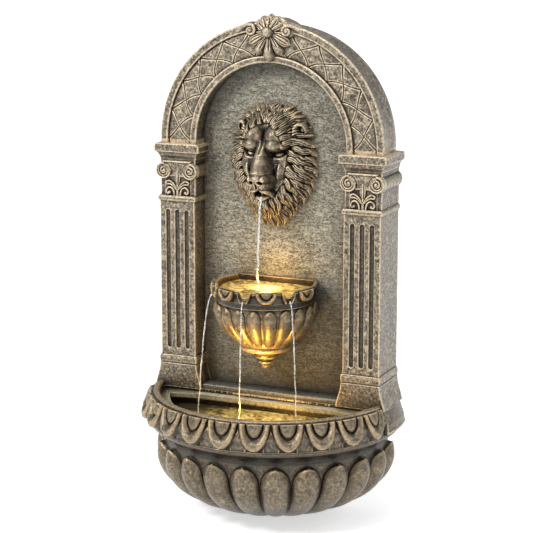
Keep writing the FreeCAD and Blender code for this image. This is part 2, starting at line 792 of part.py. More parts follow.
def flute(x):
    """The round-ended groove of one flute."""
    low, high = SHAFT_LOW + 11.5, SHAFT_TOP - 13.5
    radius = (S.flute_width**2 / 4 + S.flute_depth**2) / (2 * S.flute_depth)
    y = PILASTER_FRONT - radius + S.flute_depth
    groove = rod(radius, Vector(x, y, low), Vector(x, y, high))
    ends = [
        cone(radius, radius * 0.3, Vector(x, y, z), Vector(x, y, z + way * radius))
        for z, way in ((low, -1), (high, 1))
    ]
    return groove.fuse(ends)


def volute(x, front, centre_z, radius, proud):
    """A scroll: a drum with a stepped spiral and an eye."""
    start = Vector(x, front + 9, centre_z)
    drum = rod(radius, start, start - Y * (9 + proud))
    groove_end = Vector(x, front - proud - 0.5, centre_z)
    ring = rod(radius * 0.74, groove_end, groove_end + Y * 2.2)
    ring = ring.cut(rod(radius * 0.38, groove_end, groove_end + Y * 2.2))
    opening = box(x - radius, x + radius, front - proud - 1, front - proud + 3,
                  centre_z, centre_z + radius * 0.3)
    ring = ring.cut(opening)
    eye = pod(Vector(x, front - proud, centre_z), Z, radius * 0.36, radius * 0.36, -Y, 3.0)
    return drum.cut(ring).fuse(eye)


def leaf_spray(x, low, high, front):
    """The upright three-lobed leaf between two volutes."""
    tall = high - low
    pieces = [pod(Vector(x, front, low + 0.60 * tall), Z, 0.42 * tall, 5.0, -Y, 5.5)]
    for side in (-1, 1):
        tilt = Vector(side * math.sin(0.6), 0, math.cos(0.6))
        pieces.append(pod(Vector(x + side * 8.5, front, low + 0.5 * tall), tilt, 0.3 * tall, 3.6, -Y, 4.0))
        pieces.append(pod(Vector(x + side * 9.0, front, low + 5.5), X, 6.5, 4.2, -Y, 4.5))
    return pieces


def pilaster():
    """The right-hand pilaster, full in section."""
    shaft = box(S.pilaster_in, S.pilaster_out, PILASTER_FRONT, WALL, SHAFT_LOW, SHAFT_TOP)
    middle = (S.pilaster_in + S.pilaster_out) / 2
    shaft = shaft.cut([flute(middle + i * S.flute_pitch) for i in (-1, 0, 1)])
    plinth = flare(BAND_LOW, S.deck_height, 1.0, S.plinth_spread, 4, True)
    band = roll(BAND_LOW, SHAFT_LOW, S.band_proud)
    astragal = roll(SHAFT_TOP, CAPITAL_LOW, S.band_proud)
    capital_front = PILASTER_FRONT + 5.0
    block = box(S.pilaster_in + 2, S.pilaster_out - 2, capital_front, WALL, CAPITAL_LOW, CAPITAL_TOP)
    cushion = box(S.pilaster_in - 1, S.pilaster_out + 1, capital_front - 4, WALL,
                  CAPITAL_TOP - 9, CAPITAL_TOP)
    scroll_z = CAPITAL_TOP - S.volute_radius - 4
    scrolls = [
        volute(S.pilaster_in + S.volute_inset, capital_front, scroll_z, S.volute_radius, 5.0),
        volute(S.pilaster_out - S.volute_inset, capital_front, scroll_z, S.volute_radius, 5.0),
    ]
    spray = leaf_spray(middle, CAPITAL_LOW, CAPITAL_TOP - 8, capital_front)
    hollow = flare(CAPITAL_TOP, ABACUS_LOW, 0.5, S.abacus_proud - 3, 3, True)
    abacus = box(S.pilaster_in - S.abacus_proud + 1, S.pilaster_out + S.abacus_proud,
                 PILASTER_FRONT - 1, WALL, ABACUS_LOW, ABACUS_TOP)
    top_edges = [
        e for e in abacus.Edges
        if abs(e.CenterOfMass.z - ABACUS_TOP) < 0.01 and e.CenterOfMass.y < WALL - 1
    ]
    abacus = abacus.makeChamfer(2.0, top_edges)
    return plinth.fuse([band, shaft, astragal, block, cushion, hollow, abacus, *scrolls, *spray])


def boss_places():
    """Screw bosses of the rear cover: up both sides and over the arch."""
    inset = S.cast_wall + S.boss_radius - 2
    x = S.pilaster_out - inset
    spots = [(x, FLANGE_TOP + 10), (x, FLANGE_TOP + 190), (x, ABACUS_LOW)]
    radius = S.arch_back - inset
    for angle in (38.0,):
        turn = math.radians(angle)
        spots.append((radius * math.sin(turn), ARCH_CENTRE + radius * math.cos(turn)))
    both = [(side * x, z) for x, z in spots for side in (-1, 1)]
    return [Vector(x, COVER_FRONT, z) for x, z in [*both, (0.0, ARCH_CENTRE + radius)]]


def make_back():
    outer_band = S.arch_outer - S.outer_band
    inner_band = S.arch_inner + S.inner_band
    floor = ARCH_FRONT + S.frieze_drop
    round_edge = 2.5
    section = [
        (S.arch_inner, PANEL_FRONT),
        (S.arch_inner, ARCH_FRONT + round_edge),
        (S.arch_inner + round_edge, ARCH_FRONT),
        (inner_band - 1, ARCH_FRONT),
        (inner_band, floor),
        (outer_band, floor),
        (outer_band + 1, ARCH_FRONT),
        (S.arch_outer - round_edge, ARCH_FRONT),
        (S.arch_outer, ARCH_FRONT + round_edge),
        (S.arch_back, WALL),
        (S.arch_inner, WALL),
    ]
    body = arch_band(section, ABACUS_LOW + 2)
    panel = half_round_top(S.arch_inner + 1, PANEL_FRONT, WALL, S.deck_height)
    sill = box(-S.arch_inner, S.arch_inner, SILL_FRONT, WALL, S.deck_height, FLANGE_TOP)
    body = body.fuse([panel, sill, *both_sides(pilaster())])

    wall = S.cast_wall
    side = S.pilaster_out - wall
    hollow = box(-side, side, PANEL_BACK, WALL + 1, FLANGE_TOP, ARCH_CENTRE)
    crown = rod(S.arch_back - wall, Vector(0, PANEL_BACK, ARCH_CENTRE), Vector(0, WALL + 1, ARCH_CENTRE))
    crown = crown.common(box(-side, side, PANEL_BACK - 1, WALL + 2, ARCH_CENTRE - 1, ARCH_CENTRE + 300))
    legs = box(S.pilaster_in + wall, side, PILASTER_FRONT + wall + 1, PANEL_BACK + 1,
               FLANGE_TOP, CAPITAL_TOP - 3)
    arch_low = ABACUS_LOW
    bow = arch_band(
        [
            (S.arch_inner + wall, floor + wall),
            (S.arch_back - wall, floor + wall),
            (S.arch_back - wall, PANEL_BACK + 1),
            (S.arch_inner + wall, PANEL_BACK + 1),
        ],
        arch_low,
    )
    window = box(-S.window_left, S.window_right, PANEL_BACK,
                 PANEL_BACK + S.window_depth, S.deck_height - 1, FLANGE_TOP + 1)
    body = body.cut([hollow, crown, *both_sides(legs), bow, window])
    side_pockets = box(S.pilaster_in + wall, side, PARTITION_BACK, WALL + 1, FLANGE_TOP, FLANGE_TOP + 30)
    body = body.cut(both_sides(side_pockets))

    turns = [S.lattice_start + i * S.lattice_pitch for i in range(LATTICE_COUNT)]
    diamonds = [
        lattice_diamond().rotate(Vector(0, 0, ARCH_CENTRE), Y, side * turn)
        for turn in turns
        for side in (-1, 1)
    ]
    body = body.fuse(diamonds)

    bosses = [peg(S.boss_radius, Vector(p.x, PANEL_BACK - 1, p.z), p) for p in boss_places()]
    pads = [hanger_pad(side) for side in (-1, 1)]
    body = body.fuse([*bosses, *pads])

    holes = [peg(S.cover_screw + S.run_gap, p + Y, p - Y * 14) for p in boss_places()]
    holes.append(rod(S.spout_radius + 0.1, Vector(0, PANEL_FRONT - 1, SPOUT_HEIGHT),
                     Vector(0, PANEL_BACK + 1, SPOUT_HEIGHT)))
    for x, z in [*bowl_screw_places(), *mask_screw_places()]:
        holes.append(peg(small_screw() + S.hole_gap, Vector(x, PANEL_FRONT - 1, z),
                         Vector(x, PANEL_BACK + 1, z)))
    lead = upper_lead_entry()
    holes.append(rod(S.lead_radius + S.hole_gap, Vector(lead.x, PANEL_FRONT - 1, lead.z),
                     Vector(lead.x, PANEL_BACK + 1, lead.z)))
    for x, y in bolt_places():
        low = Vector(x, y, S.deck_height - 1)
        holes.append(peg(S.bolt_radius + S.hole_gap, low, low + Z * (S.flange_thick + 2)))
    for side in (-1, 1):
        holes.append(keyhole_pocket(side))
        for spot in hanger_screw_places(side):
            holes.append(peg(S.cover_screw + S.run_gap, spot + Y * 3, spot - Y * 12))
    return body.cut(holes)


def hanger_pad(side):
    """The solid pad that carries one hanger plate."""
    half, tall = S.hanger_wide / 2 + 1, S.hanger_long / 2 + 1
    x = side * S.hanger_x
    return box(x - half, x + half, PANEL_BACK - 1, WALL - S.hanger_thick,
               S.hanger_height - tall, S.hanger_height + tall)


def keyhole_pocket(side):
    """Room for the wall screw's head behind one keyhole."""
    half = S.key_head + 2
    x = side * S.hanger_x
    low = S.hanger_height - S.key_rise / 2
    back = WALL - S.hanger_thick
    return box(x - half, x + half, back - 12, back + 1, low - half, low + S.key_rise + half)


def hanger_screw_places(side):
    x, reach = side * S.hanger_x, S.hanger_long / 2 - 7
    return [Vector(x, WALL - S.hanger_thick, S.hanger_height + up * reach) for up in (-1, 1)]


def small_screw():
    return 2.0


def bowl_screw_places():
    return [(-40.0, S.bowl_crest - 46.0), (40.0, S.bowl_crest - 46.0)]


def mask_screw_places():
    return [(-34.0, S.mask_height + 8.0), (34.0, S.mask_height + 8.0), (0.0, S.mask_height + 58.0)]


def upper_lead_entry():
    """Where the upper light's lead goes through the panel."""
    return Vector(14.0, PANEL_BACK, S.light_base + 4.0)


# The upper bowl


def bowl_stations():
    """Height, valley radius and crest radius from the bowl's ring to its neck."""
    top, wide, depth = S.bowl_crest, S.bowl_radius, S.bowl_lobe_depth
    stations = []
    for share, drop, fill in (
        (0.50, 98.0, 0.30),
        (0.63, 89.5, 0.90),
        (0.78, 79.0, 1.0),
        (0.935, 61.0, 1.0),
        (1.0, 44.0, 1.0),
        (0.985, 35.0, 0.7),
        (0.965, 30.0, 0.06),
    ):
        valley = share * wide - depth
        stations.append((top - drop, valley, valley + depth * fill))
    return stations


def make_bowl():
    top, rim = S.bowl_crest, S.bowl_rim_radius
    stations = bowl_stations()
    belly = gadrooned(BOWL_LOBES, stations)
    finial = turned_solid(
        [
            (0, top - 141),
            (6.5, top - 139),
            (7.5, top - 133),
            (11.5, top - 131),
            (12.0, top - 125),
            (17, top - 121),
            (18.5, top - 114),
            (24, top - 109),
            (39, top - 107),
            (41.2, top - 104),
            (41.2, top - 101),
            (35, top - 97),
            (0, top - 97),
        ]
    )
    neck_height, neck = stations[-1][0], stations[-1][1]
    brim = turned_solid(
        [
            (0, neck_height - 1),
            (neck - 0.5, neck_height - 1),
            (neck, neck_height + 2),
            (rim - 3, top - 22),
            (rim, top - 18),
            (S.bowl_crest_radius + 1, top - 1),
            (S.bowl_crest_radius - 1, top),
            (0, top),
        ]
    )
    slope = slope_frame(S.bowl_crest_radius + 1, top - 1, rim, top - 18)
    leaf = egg_leaf(S.bowl_leaf_width, S.bowl_leaf_length, S.bowl_leaf_thick, 3.5)
    lip = tongue(S.bowl_leaf_width, S.bowl_leaf_length, S.bowl_leaf_thick + 3.5)
    lip.translate(Vector(0, 0, -3.5))
    lip = Part.makeCompound([lip])
    for piece in (leaf, lip):
        piece.Placement = slope
    step = S.bowl_leaf_pitch
    leaves = [turned_about(leaf, ORIGIN, a) for a in (-3 * step, -step, step, 3 * step)]
    lips = [turned_about(lip.Solids[0], ORIGIN, a) for a in lip_angles()]
    body = belly.fuse([finial, brim, *leaves, *lips])

    wall = [(r, z) for z, r, _ in stations[:-1]]
    inner = inset_outline(wall, S.bowl_wall)[1:]
    back = BOWL_BACK - BOWL_AXIS
    hollow = turned_solid(
        [
            (0, inner[0][1]),
            *inner,
            (neck - S.bowl_wall, neck_height),
            (S.bowl_crest_radius - 6, top - 12),
            (S.bowl_crest_radius - 4, top + 1),
            (0, top + 1),
        ]
    )
    hollow = hollow.common(box(-100, 100, -100, back, 0, top + 5))
    channel = rod(
        S.lip_radius,
        Vector(0, -(S.bowl_crest_radius - 20), top + 1.5),
        Vector(0, -(rim + 14), top - 13),
    )
    channels = [turned_about(channel, ORIGIN, a) for a in lip_angles()]
    body = body.cut([hollow, *channels])
    seat_low = inner[0][1] - 2
    pedestal = Part.makeCylinder(S.puck_radius + 2, S.light_base - seat_low,
                                 Vector(0, -S.light_front - BOWL_AXIS, seat_low))
    body = body.fuse(pedestal)
    body.translate(Vector(0, BOWL_AXIS, 0))
    body = body.cut(box(-200, 200, PANEL_FRONT, 200, 0, top + 20))
    holes = [
        peg(small_screw() + S.run_gap, Vector(x, PANEL_FRONT + 1, z), Vector(x, PANEL_FRONT - 5, z))
        for x, z in bowl_screw_places()
    ]
    lead = upper_lead_entry()
    holes.append(rod(S.lead_radius + S.hole_gap, Vector(lead.x, PANEL_FRONT + 1, lead.z),
                     Vector(lead.x, BOWL_BACK - 1, lead.z)))
    return body.cut(holes)


def lip_angles():
    return [-2 * S.bowl_leaf_pitch, 0.0, 2 * S.bowl_leaf_pitch]


# The lion mask


def lock_of_hair(angle, start, length, radius, forward, lean):
    """One tapered lock of the mane, pointing away from the face."""
    turn = math.radians(angle)
    out = Vector(math.sin(turn), 0, math.cos(turn) * S.mane_rise / S.mane_half)
    root = Vector(0, PANEL_FRONT - forward, S.mask_height) + out * start
    swing = Vector(math.cos(turn), 0, -math.sin(turn)) * lean
    run = out * length + swing + Y * (forward * 0.62)
    along = Vector(run).normalize()
    up = along.cross(Vector(math.cos(turn), 0, -math.sin(turn))).normalize()
    stations = ((0, 0.7, 0.7), (0.35, 1.0, 1.0), (0.75, 0.72, 0.7), (1.0, 0.12, 0.12))
    sized = [(at * run.Length, wide * radius, high * radius) for at, wide, high in stations]
    return swell(root, along, up, sized, 5)


def make_mask():
    proud, wide, tall = S.mask_forward, S.mane_half, S.mane_rise

    def at(x, forward, z):
        return Vector(x * wide, PANEL_FRONT - forward * proud, S.mask_height + z * tall)

    def lump(x, forward, z, half_wide, half_deep, half_tall, tilt=0.0):
        up = Vector(math.sin(math.radians(tilt)), 0, math.cos(math.radians(tilt)))
        return pod(at(x, forward, z), up, half_tall * tall, half_wide * wide, -Y, half_deep * proud)

    skull = pod(at(0, 0, 0), Z, 0.86 * tall, 0.86 * wide, -Y, 0.44 * proud, 14)
    pieces = []
    for i in range(14):
        angle = i * 360 / 14
        lean = 6.0 if angle < 180 else -6.0
        pieces.append(lock_of_hair(angle, 0.60 * wide, 0.37 * wide, 0.17 * wide, 0.22 * proud, lean))
        pieces.append(lock_of_hair(angle + 13, 0.42 * wide, 0.36 * wide, 0.16 * wide, 0.44 * proud, lean))
    pieces.append(lump(0, 0.36, 0.12, 0.52, 0.40, 0.46))
    bridge = swell(at(0, 0.60, 0.36), (at(0, 0.84, -0.12) - at(0, 0.60, 0.36)).normalize(), -Y,
                   ((0, 0.14 * wide, 0.12 * proud), (0.48 * tall, 0.13 * wide, 0.13 * proud)))
    pieces.append(bridge)
    pieces.append(lump(0, 0.85, -0.17, 0.19, 0.15, 0.09))
    pieces.append(lump(0, 0.30, -0.60, 0.34, 0.34, 0.32))
    for side in (-1, 1):
        pieces.append(lump(side * 0.18, 0.64, -0.27, 0.23, 0.26, 0.14))
        pieces.append(lump(side * 0.28, 0.64, 0.27, 0.10, 0.15, 0.20, side * 62))
        pieces.append(lump(side * 0.27, 0.60, 0.13, 0.10, 0.10, 0.05))
        pieces.append(lump(side * 0.42, 0.44, -0.10, 0.22, 0.24, 0.22))
        ear = lump(side * 0.58, 0.40, 0.48, 0.17, 0.14, 0.13, side * 35)
        pieces.append(ear.cut(lump(side * 0.58, 0.52, 0.48, 0.10, 0.10, 0.08, side * 35)))
    jaw = lump(0, 0.50, -0.56, 0.20, 0.24, 0.11)
    body = skull.fuse([*pieces, jaw])
    mouth = lump(0, 0.72, -0.42, 0.16, 0.40, 0.055)
    inside = pod(at(0, 0, 0), Z, 0.70 * tall, 0.72 * wide, -Y, 0.28 * proud, 12)
    post = rod(S.spout_radius + 5, at(0, 0, 0) - Z * S.mouth_drop, at(0, 0.4, 0) - Z * S.mouth_drop)
    posts = [
        rod(6.0, Vector(x, PANEL_FRONT, z), Vector(x, PANEL_FRONT - 30, z))
        for x, z in mask_screw_places()
    ]
    behind = box(-300, 300, PANEL_FRONT, 300, 200, 900)
    spout = rod(S.spout_radius + 0.1, Vector(0, PANEL_FRONT + 1, SPOUT_HEIGHT),
                Vector(0, SPOUT_END - 20, SPOUT_HEIGHT))
    screws = [
        peg(small_screw() + S.run_gap, Vector(x, PANEL_FRONT + 1, z), Vector(x, PANEL_FRONT - 12, z))
        for x, z in mask_screw_places()
    ]
    return body.cut([behind, mouth, inside.cut([post, *posts]), spout, *screws])


# The shell ornament on the crown


def petal(angle, length, wide, forward):
    """One rounded petal that leaves the boss at an angle from straight up."""
    turn = math.radians(angle)
    out = Vector(math.sin(turn), 0, math.cos(turn))
    root = Vector(0, ARCH_FRONT - forward, S.shell_boss)
    stations = [
        (3.0, wide * 0.35, wide * 0.8),
        (length * 0.55, wide * 0.80, wide * 1.0),
        (length * 0.82, wide, wide * 1.1),
        (length * 0.95, wide * 0.75, wide * 0.8),
        (length, wide * 0.2, wide * 0.3),
    ]
    return swell(root, out, -Y, stations)


LOWER_PETALS = ((180, 1.0), (154, 0.93), (128, 0.80), (104, 0.64))
UPPER_PETALS = (0, 30, 60)


def make_shell():
    middle = Vector(0, 0, S.shell_boss - 3)
    block = rod(30.0, middle + Y * (ARCH_FRONT - 5), middle + Y * (WALL - 5))
    pieces = []
    for angle in UPPER_PETALS:
        for side in (-1, 1) if angle else (1,):
            pieces.append(petal(side * angle, S.shell_fan + 2, 6.2, 9.0))
    for angle, share in LOWER_PETALS:
        for side in (-1, 1) if angle < 180 else (1,):
            pieces.append(petal(side * angle, S.shell_leaf * share, 6.0, 7.0))
    for side in (-1, 1):
        pieces.append(volute(side * 31.5, ARCH_FRONT - 2, S.shell_boss + 1, 9.0, 8.0))
    boss = pod(Vector(0, ARCH_FRONT - 13, S.shell_boss), Z, 7.5, 7.5, -Y, 7.5)
    body = block.fuse([*pieces, boss])
    arch = rod(S.arch_outer + 0.05, Vector(0, ARCH_FRONT, ARCH_CENTRE), Vector(0, WALL + 1, ARCH_CENTRE))
    return body.cut(arch)


# Plates and screws at the back


def cover_hole(spot):
    """A screw's hole in a rear cover, with a sunk seat for its head."""
    rim = spot + Y * S.cover_thick
    narrow, wide = S.cover_screw + S.hole_gap, 2 * S.cover_screw + S.hole_gap
    seat = peg(narrow, rim - Y * S.cover_screw, rim, end_radius=wide)
    return peg(narrow, spot - Y, rim - Y * S.cover_screw).fuse(seat)


def make_rear_cover():
    gap = S.seat_gap
    half = S.pilaster_out - S.cast_wall - gap
    slab = box(-half, half, COVER_FRONT, WALL, FLANGE_TOP + gap, ARCH_CENTRE - gap)
    crown = rod(S.arch_back - S.cast_wall - gap, Vector(0, COVER_FRONT, ARCH_CENTRE),
                Vector(0, WALL, ARCH_CENTRE))
    crown = crown.common(box(-half, half, 0, WALL, ARCH_CENTRE - 1, ARCH_CENTRE + 300))
    cover = slab.fuse(crown)
    pads = []
    for side in (-1, 1):
        wide, tall = S.hanger_wide / 2 + 1 + gap, S.hanger_long / 2 + 1 + gap
        x = side * S.hanger_x
        pads.append(box(x - wide, x + wide, 0, WALL + 1, S.hanger_height - tall, S.hanger_height + tall))
    holes = [cover_hole(spot) for spot in boss_places()]
    return cover.cut([*pads, *holes]).removeSplitter()


def make_access_cover():
    plate = box(-ACCESS_HALF, ACCESS_HALF, COVER_FRONT, WALL, ACCESS_LOW, ACCESS_HIGH)
    return plate.cut([cover_hole(spot) for spot in access_screw_places()])


def make_hanger(side):
    """A steel plate with a keyhole, let into its pad at the wall's side."""
    x, z = side * S.hanger_x, S.hanger_height
    front, back = WALL - S.hanger_thick, WALL
    half, tall = S.hanger_wide / 2, S.hanger_long / 2
    plate = box(x - half, x + half, front, back, z - tall, z + tall)
    head = Vector(x, front - 1, z - S.key_rise / 2)
    top = head + Z * S.key_rise
    through = Y * (S.hanger_thick + 2)
    slot = box(x - S.key_slot, x + S.key_slot, front - 1, back + 1, head.z, top.z)
    cuts = [rod(S.key_head, head, head + through), slot, rod(S.key_slot, top, top + through)]
    for spot in hanger_screw_places(side):
        rim = spot + Y * S.hanger_thick
        narrow, wide = S.cover_screw + S.hole_gap, 2 * S.cover_screw + S.hole_gap
        cuts.append(peg(narrow, spot - Y, rim))
        cuts.append(peg(narrow, rim - Y * S.cover_screw, rim, end_radius=wide))
    return plate.cut(cuts)


def sunk_screw(label, length):
    """A countersunk screw, its head's top at the origin and its shank along -Z."""
    r = S.cover_screw
    return stepped(label, [(-length, -r, r, r), (-r, 0.0, r, 2 * r)])


def pan_screw(label, radius, length):
    """A pan-head screw, its head's seat at the origin and its shank along -Z."""
    return stepped(label, [(-length, 0.0, radius, radius), (0.0, 1.1 * radius, 2 * radius, 1.5 * radius)])


HOSE_CLIPS = ((OUTLET_X, S.deck_height + 15), (0.0, SPOUT_HEIGHT - 52))
LEAD_CLIPS = (S.deck_height + 36, S.deck_height + 120)
OUTWARD = Rotation(Z, Y)


# Hose, leads and what holds them


def rounded_wire(points, radii):
    """Straight runs joined by tangent arcs: one radius for each inner point."""
    edges = []
    last = points[0]
    for before, corner, after, radius in zip(points, points[1:], points[2:], radii):
        way_in, way_out = (corner - before).normalize(), (after - corner).normalize()
        half_turn = way_in.getAngle(way_out) / 2
        reach = radius * math.tan(half_turn)
        start, end = corner - way_in * reach, corner + way_out * reach
        inward = (way_out - way_in).normalize()
        middle = corner + inward * (radius / math.cos(half_turn) - radius)
        edges.append(Part.LineSegment(last, start).toShape())
        edges.append(Part.Arc(start, middle, end).toShape())
        last = end
    edges.append(Part.LineSegment(last, points[-1]).toShape())
    return Part.Wire(edges)


def swept(wire, points, radius, sides):
    """A many-sided tube along a wire."""
    corners = ring_of_points(radius, sides)
    section = Part.makePolygon([*corners, corners[0]])
    section.Placement = Placement(points[0], Rotation(Z, points[1] - points[0]))
    return wire.makePipeShell([section], True, False)


def ring_area(radius, sides):
    """Area of an even polygon from its corner radius."""
    return sides * radius**2 * math.sin(2 * math.pi / sides) / 2


def hose_route():
    """The riser from the pump's outlet, through the wall, up to the spout's elbow."""
    back = S.riser_back
    points = [
        Vector(OUTLET_X, PUMP_Y, PUMP_TOP + 6),
        Vector(OUTLET_X, PUMP_Y, S.hose_pass),
        Vector(OUTLET_X, back, S.hose_pass),
        Vector(OUTLET_X, back, S.deck_height + 62),
        Vector(0, back, SPOUT_HEIGHT - 100),
        Vector(0, back, SPOUT_HEIGHT - S.spout_radius - 6),
    ]
    return points, [S.hose_bend, S.hose_bend, 9 * S.hose_bend, 9 * S.hose_bend]


def make_hose():
    points, radii = hose_route()
    wire = rounded_wire(points, radii)
    sides = 12
    outer = swept(wire, points, S.hose_radius, sides)
    hose = outer.cut(swept(wire, points, S.hose_bore, sides))
    section = ring_area(S.hose_radius, sides) - ring_area(S.hose_bore, sides)
    share = hose.Volume / section / wire.Length
    print(f"riser hose {wire.Length:.0f} mm long, its volume over section times length {share:.4f}")
    return hose


def make_lead(label, points):
    """A thin inner lead with the same bend at each corner."""
    wire = rounded_wire(points, [S.lead_bend] * (len(points) - 2))
    lead = swept(wire, points, S.lead_radius, PEG_SIDES)
    share = lead.Volume / ring_area(S.lead_radius, PEG_SIDES) / wire.Length
    print(f"{label} {wire.Length:.0f} mm long, its volume over section times length {share:.4f}")
    return shaped(label, lead)


def wall_lead_points(x, start):
    """A lead that climbs the partition inside the basin and goes through it to the splice box."""
    near = PARTITION_FRONT - 14.0
    return [
        *start,
        Vector(x, near, start[-1].z),
        Vector(x, near, S.lead_pass),
        Vector(x, PARTITION_BACK + 2, S.lead_pass),
    ]


def saddle(half_wide, radius, x, z):
    """A block on the panel's back that a hose or lead is pressed into."""
    y = S.riser_back
    block = box(x - half_wide, x + half_wide, PANEL_BACK, y + radius + 2.5, z - 5, z + 5)
    return block.cut(rod(radius, Vector(x, y, z - 6), Vector(x, y, z + 6)))


def make_spout():
    """The pipe in the lion's mouth, its collar behind the panel, and its elbow down to the hose."""
    height, back = SPOUT_HEIGHT, S.riser_back
    corner = Vector(0, back, height)
    pipe = rod(S.spout_radius, Vector(0, SPOUT_END, height), corner)
    collar = rod(S.spout_radius + 4, Vector(0, PANEL_BACK, height), Vector(0, PANEL_BACK + 2.5, height))
    drop = rod(S.spout_radius, corner, corner - Z * (S.spout_radius + 6))
    barb = rod(S.hose_bore, corner, corner - Z * 30)
    body = pipe.fuse([collar, drop, barb, Part.makeSphere(S.spout_radius, corner)])
    bore = rod(S.spout_bore, Vector(0, SPOUT_END - 1, height), corner)
    down = rod(S.hose_bore - 1.3, corner, corner - Z * 31)
    return body.cut([bore, down])


def grommet(label, neck, flange, bore, length):
    """A rubber ring with a flange on each side of the wall that it is set in."""
    lip = 2.0
    return turned(
        label,
        [
            (bore, -lip),
            (flange, -lip),
            (flange, 0),
            (neck, 0),
            (neck, length),
            (flange, length),
            (flange, length + lip),
            (bore, length + lip),
        ],
    )


# The pump: its housing turns about X, with the chamber open to the left


def pump_block(label, length, reverse):
    """A block with the pump's outline, padded from its left face."""
    body = new_body(label)
    sketch = new_sketch(body, "YZ_Plane", f"{label}_outline")
    wide, high = S.pump_wide / 2, S.pump_high / 2
    cut = 4.0
    draw_polygon(
        sketch,
        [
            (-wide + cut, -high),
            (wide - cut, -high),
            (wide, -high + cut),
            (wide, high - cut),
            (wide - cut, high),
            (-wide + cut, high),
            (-wide, high - cut),
            (-wide, -high + cut),
        ],
    )
    pad(body, sketch, length, f"{label}_block", reverse)
    return body


def circle_pocket(body, role, name, x, y, radius, depth=None, lift=0.0, reverse=False):
    sketch = new_sketch(body, role, f"{name}_sketch", lift)
    draw_circle(sketch, x, y, radius)
    return pocket(body, sketch, name, depth, reverse)


def make_pump_housing():
    body = pump_block("pump_housing", S.pump_long, False)
    circle_pocket(body, "YZ_Plane", "chamber", 0, 0, S.chamber_radius, S.chamber_depth, 0.0, True)
    well = S.chamber_depth + S.rotor_long
    circle_pocket(body, "YZ_Plane", "rotor_well", 0, 0, S.rotor_radius + 0.8, well, 0.0, True)
    circle_pocket(body, "YZ_Plane", "shaft_seat", 0, 0, S.shaft_radius, well + 4.0, 0.0, True)
    top = S.pump_high / 2
    x = OUTLET_X - PUMP_LEFT
    circle_pocket(body, "XY_Plane", "outlet_port", x, 0, S.hose_bore - 1.0, top, top)
    return body


def make_intake_cover():
    body = pump_block("pump_intake_cover", S.intake_thick, True)
    inner = new_sketch(body, "YZ_Plane", "intake_room")
    wide, high = S.pump_wide / 2 - 3.0, S.pump_high / 2 - 3.0
    draw_polygon(inner, rectangle(-wide, wide, -high, high))
    pocket(body, inner, "intake_hollow", S.intake_thick - 3.0)
    slots = new_sketch(body, "YZ_Plane", "intake_slots", -S.intake_thick)
    for i in range(5):
        y = -S.pump_wide / 2 + 6.0 + i * 5.0
        draw_polygon(slots, rectangle(y, y + 2.4, -high + 3.0, high - 3.0))
    pocket(body, slots, "intake_grille", 4.0, True)
    circle_pocket(body, "YZ_Plane", "knob_hole", KNOB_Y, 0, KNOB_STUB + S.run_gap, 4.0,
                  -S.intake_thick, True)
    return body


KNOB_STUB = 2.0
KNOB_Y = S.pump_wide / 2 - 8.0


def make_knob():
    """The flow knob: a disc with a grip rib outside the cover and a stub through it."""
    body = turned(
        "pump_flow_knob",
        [
            (0, -3.5),
            (KNOB_STUB, -3.5),
            (KNOB_STUB, 0.3),
            (S.knob_radius, 0.3),
            (S.knob_radius, 2.5),
            (0, 2.5),
        ],
    )
    rib = new_sketch(body, "XY_Plane", "knob_rib", 2.0)
    draw_polygon(rib, rectangle(-S.knob_radius + 0.6, S.knob_radius - 0.6, -1.1, 1.1))
    pad(body, rib, 3.0, "knob_grip")
    return body


def make_rotor():
    """The rotor: a magnet with a disc and six straight vanes on its end, bored for the shaft."""
    bore = S.shaft_radius + S.run_gap
    disc = S.rotor_long + 1.5
    body = turned(
        "pump_rotor",
        [
            (bore, 0),
            (S.rotor_radius, 0),
            (S.rotor_radius, S.rotor_long),
            (S.impeller_radius, S.rotor_long),
            (S.impeller_radius, disc),
            (4.0, disc),
            (3.0, disc + 5.5),
            (bore, disc + 5.5),
        ],
    )
    vane = new_sketch(body, "XY_Plane", "vane_outline", disc - 0.2)
    draw_polygon(vane, rectangle(bore + 1.6, S.impeller_radius - 0.4, -0.7, 0.7))
    first = pad(body, vane, 5.2, "vane")
    doc.recompute()
    pattern = body.newObject("PartDesign::PolarPattern", "vanes")
    pattern.Originals = [first]
    axis = next(f for f in body.Origin.OriginFeatures if f.Role == "Z_Axis")
    pattern.Axis = (axis, [""])
    pattern.Angle = 360
    pattern.Occurrences = 6
    body.Tip = pattern
    return body


def make_light(label, x, y, z):
    """A round light: its housing, its board of emitters and its clear lens, on one seat."""
    r, tall, wall = S.puck_radius, S.puck_height, 2.0
    housing = turned(
        f"{label}_housing",
        [(0, 0), (r, 0), (r, tall - 2), (r - wall, tall - 2), (r - wall, 4), (0, 4)],
    )
    board = turned(f"{label}_board", [(0, 4), (r - wall - 0.2, 4), (r - wall - 0.2, 5.6), (0, 5.6)])
    dots = new_sketch(board, "XY_Plane", f"{label}_emitters", 5.4)
    for i in range(4):
        angle = math.pi / 4 + i * math.pi / 2
        draw_circle(dots, 8 * math.cos(angle), 8 * math.sin(angle), 2.4)
    pad(board, dots, 1.8, f"{label}_dots")
    lens = turned(
        f"{label}_lens",
        [
            (0, tall - 4.5),
            (r - wall - 0.1, tall - 4.5),
            (r - wall - 0.1, tall - 2),
            (r, tall - 2),
            (r, tall - 2 + S.lens_thick * 0.5),
            (r * 0.86, tall - 2 + S.lens_thick * 0.8),
            (r * 0.5, tall - 2 + S.lens_thick),
            (0, tall - 2 + S.lens_thick),
        ],
    )
    for piece in (housing, board, lens):
        place(keep(piece), x, y, z)


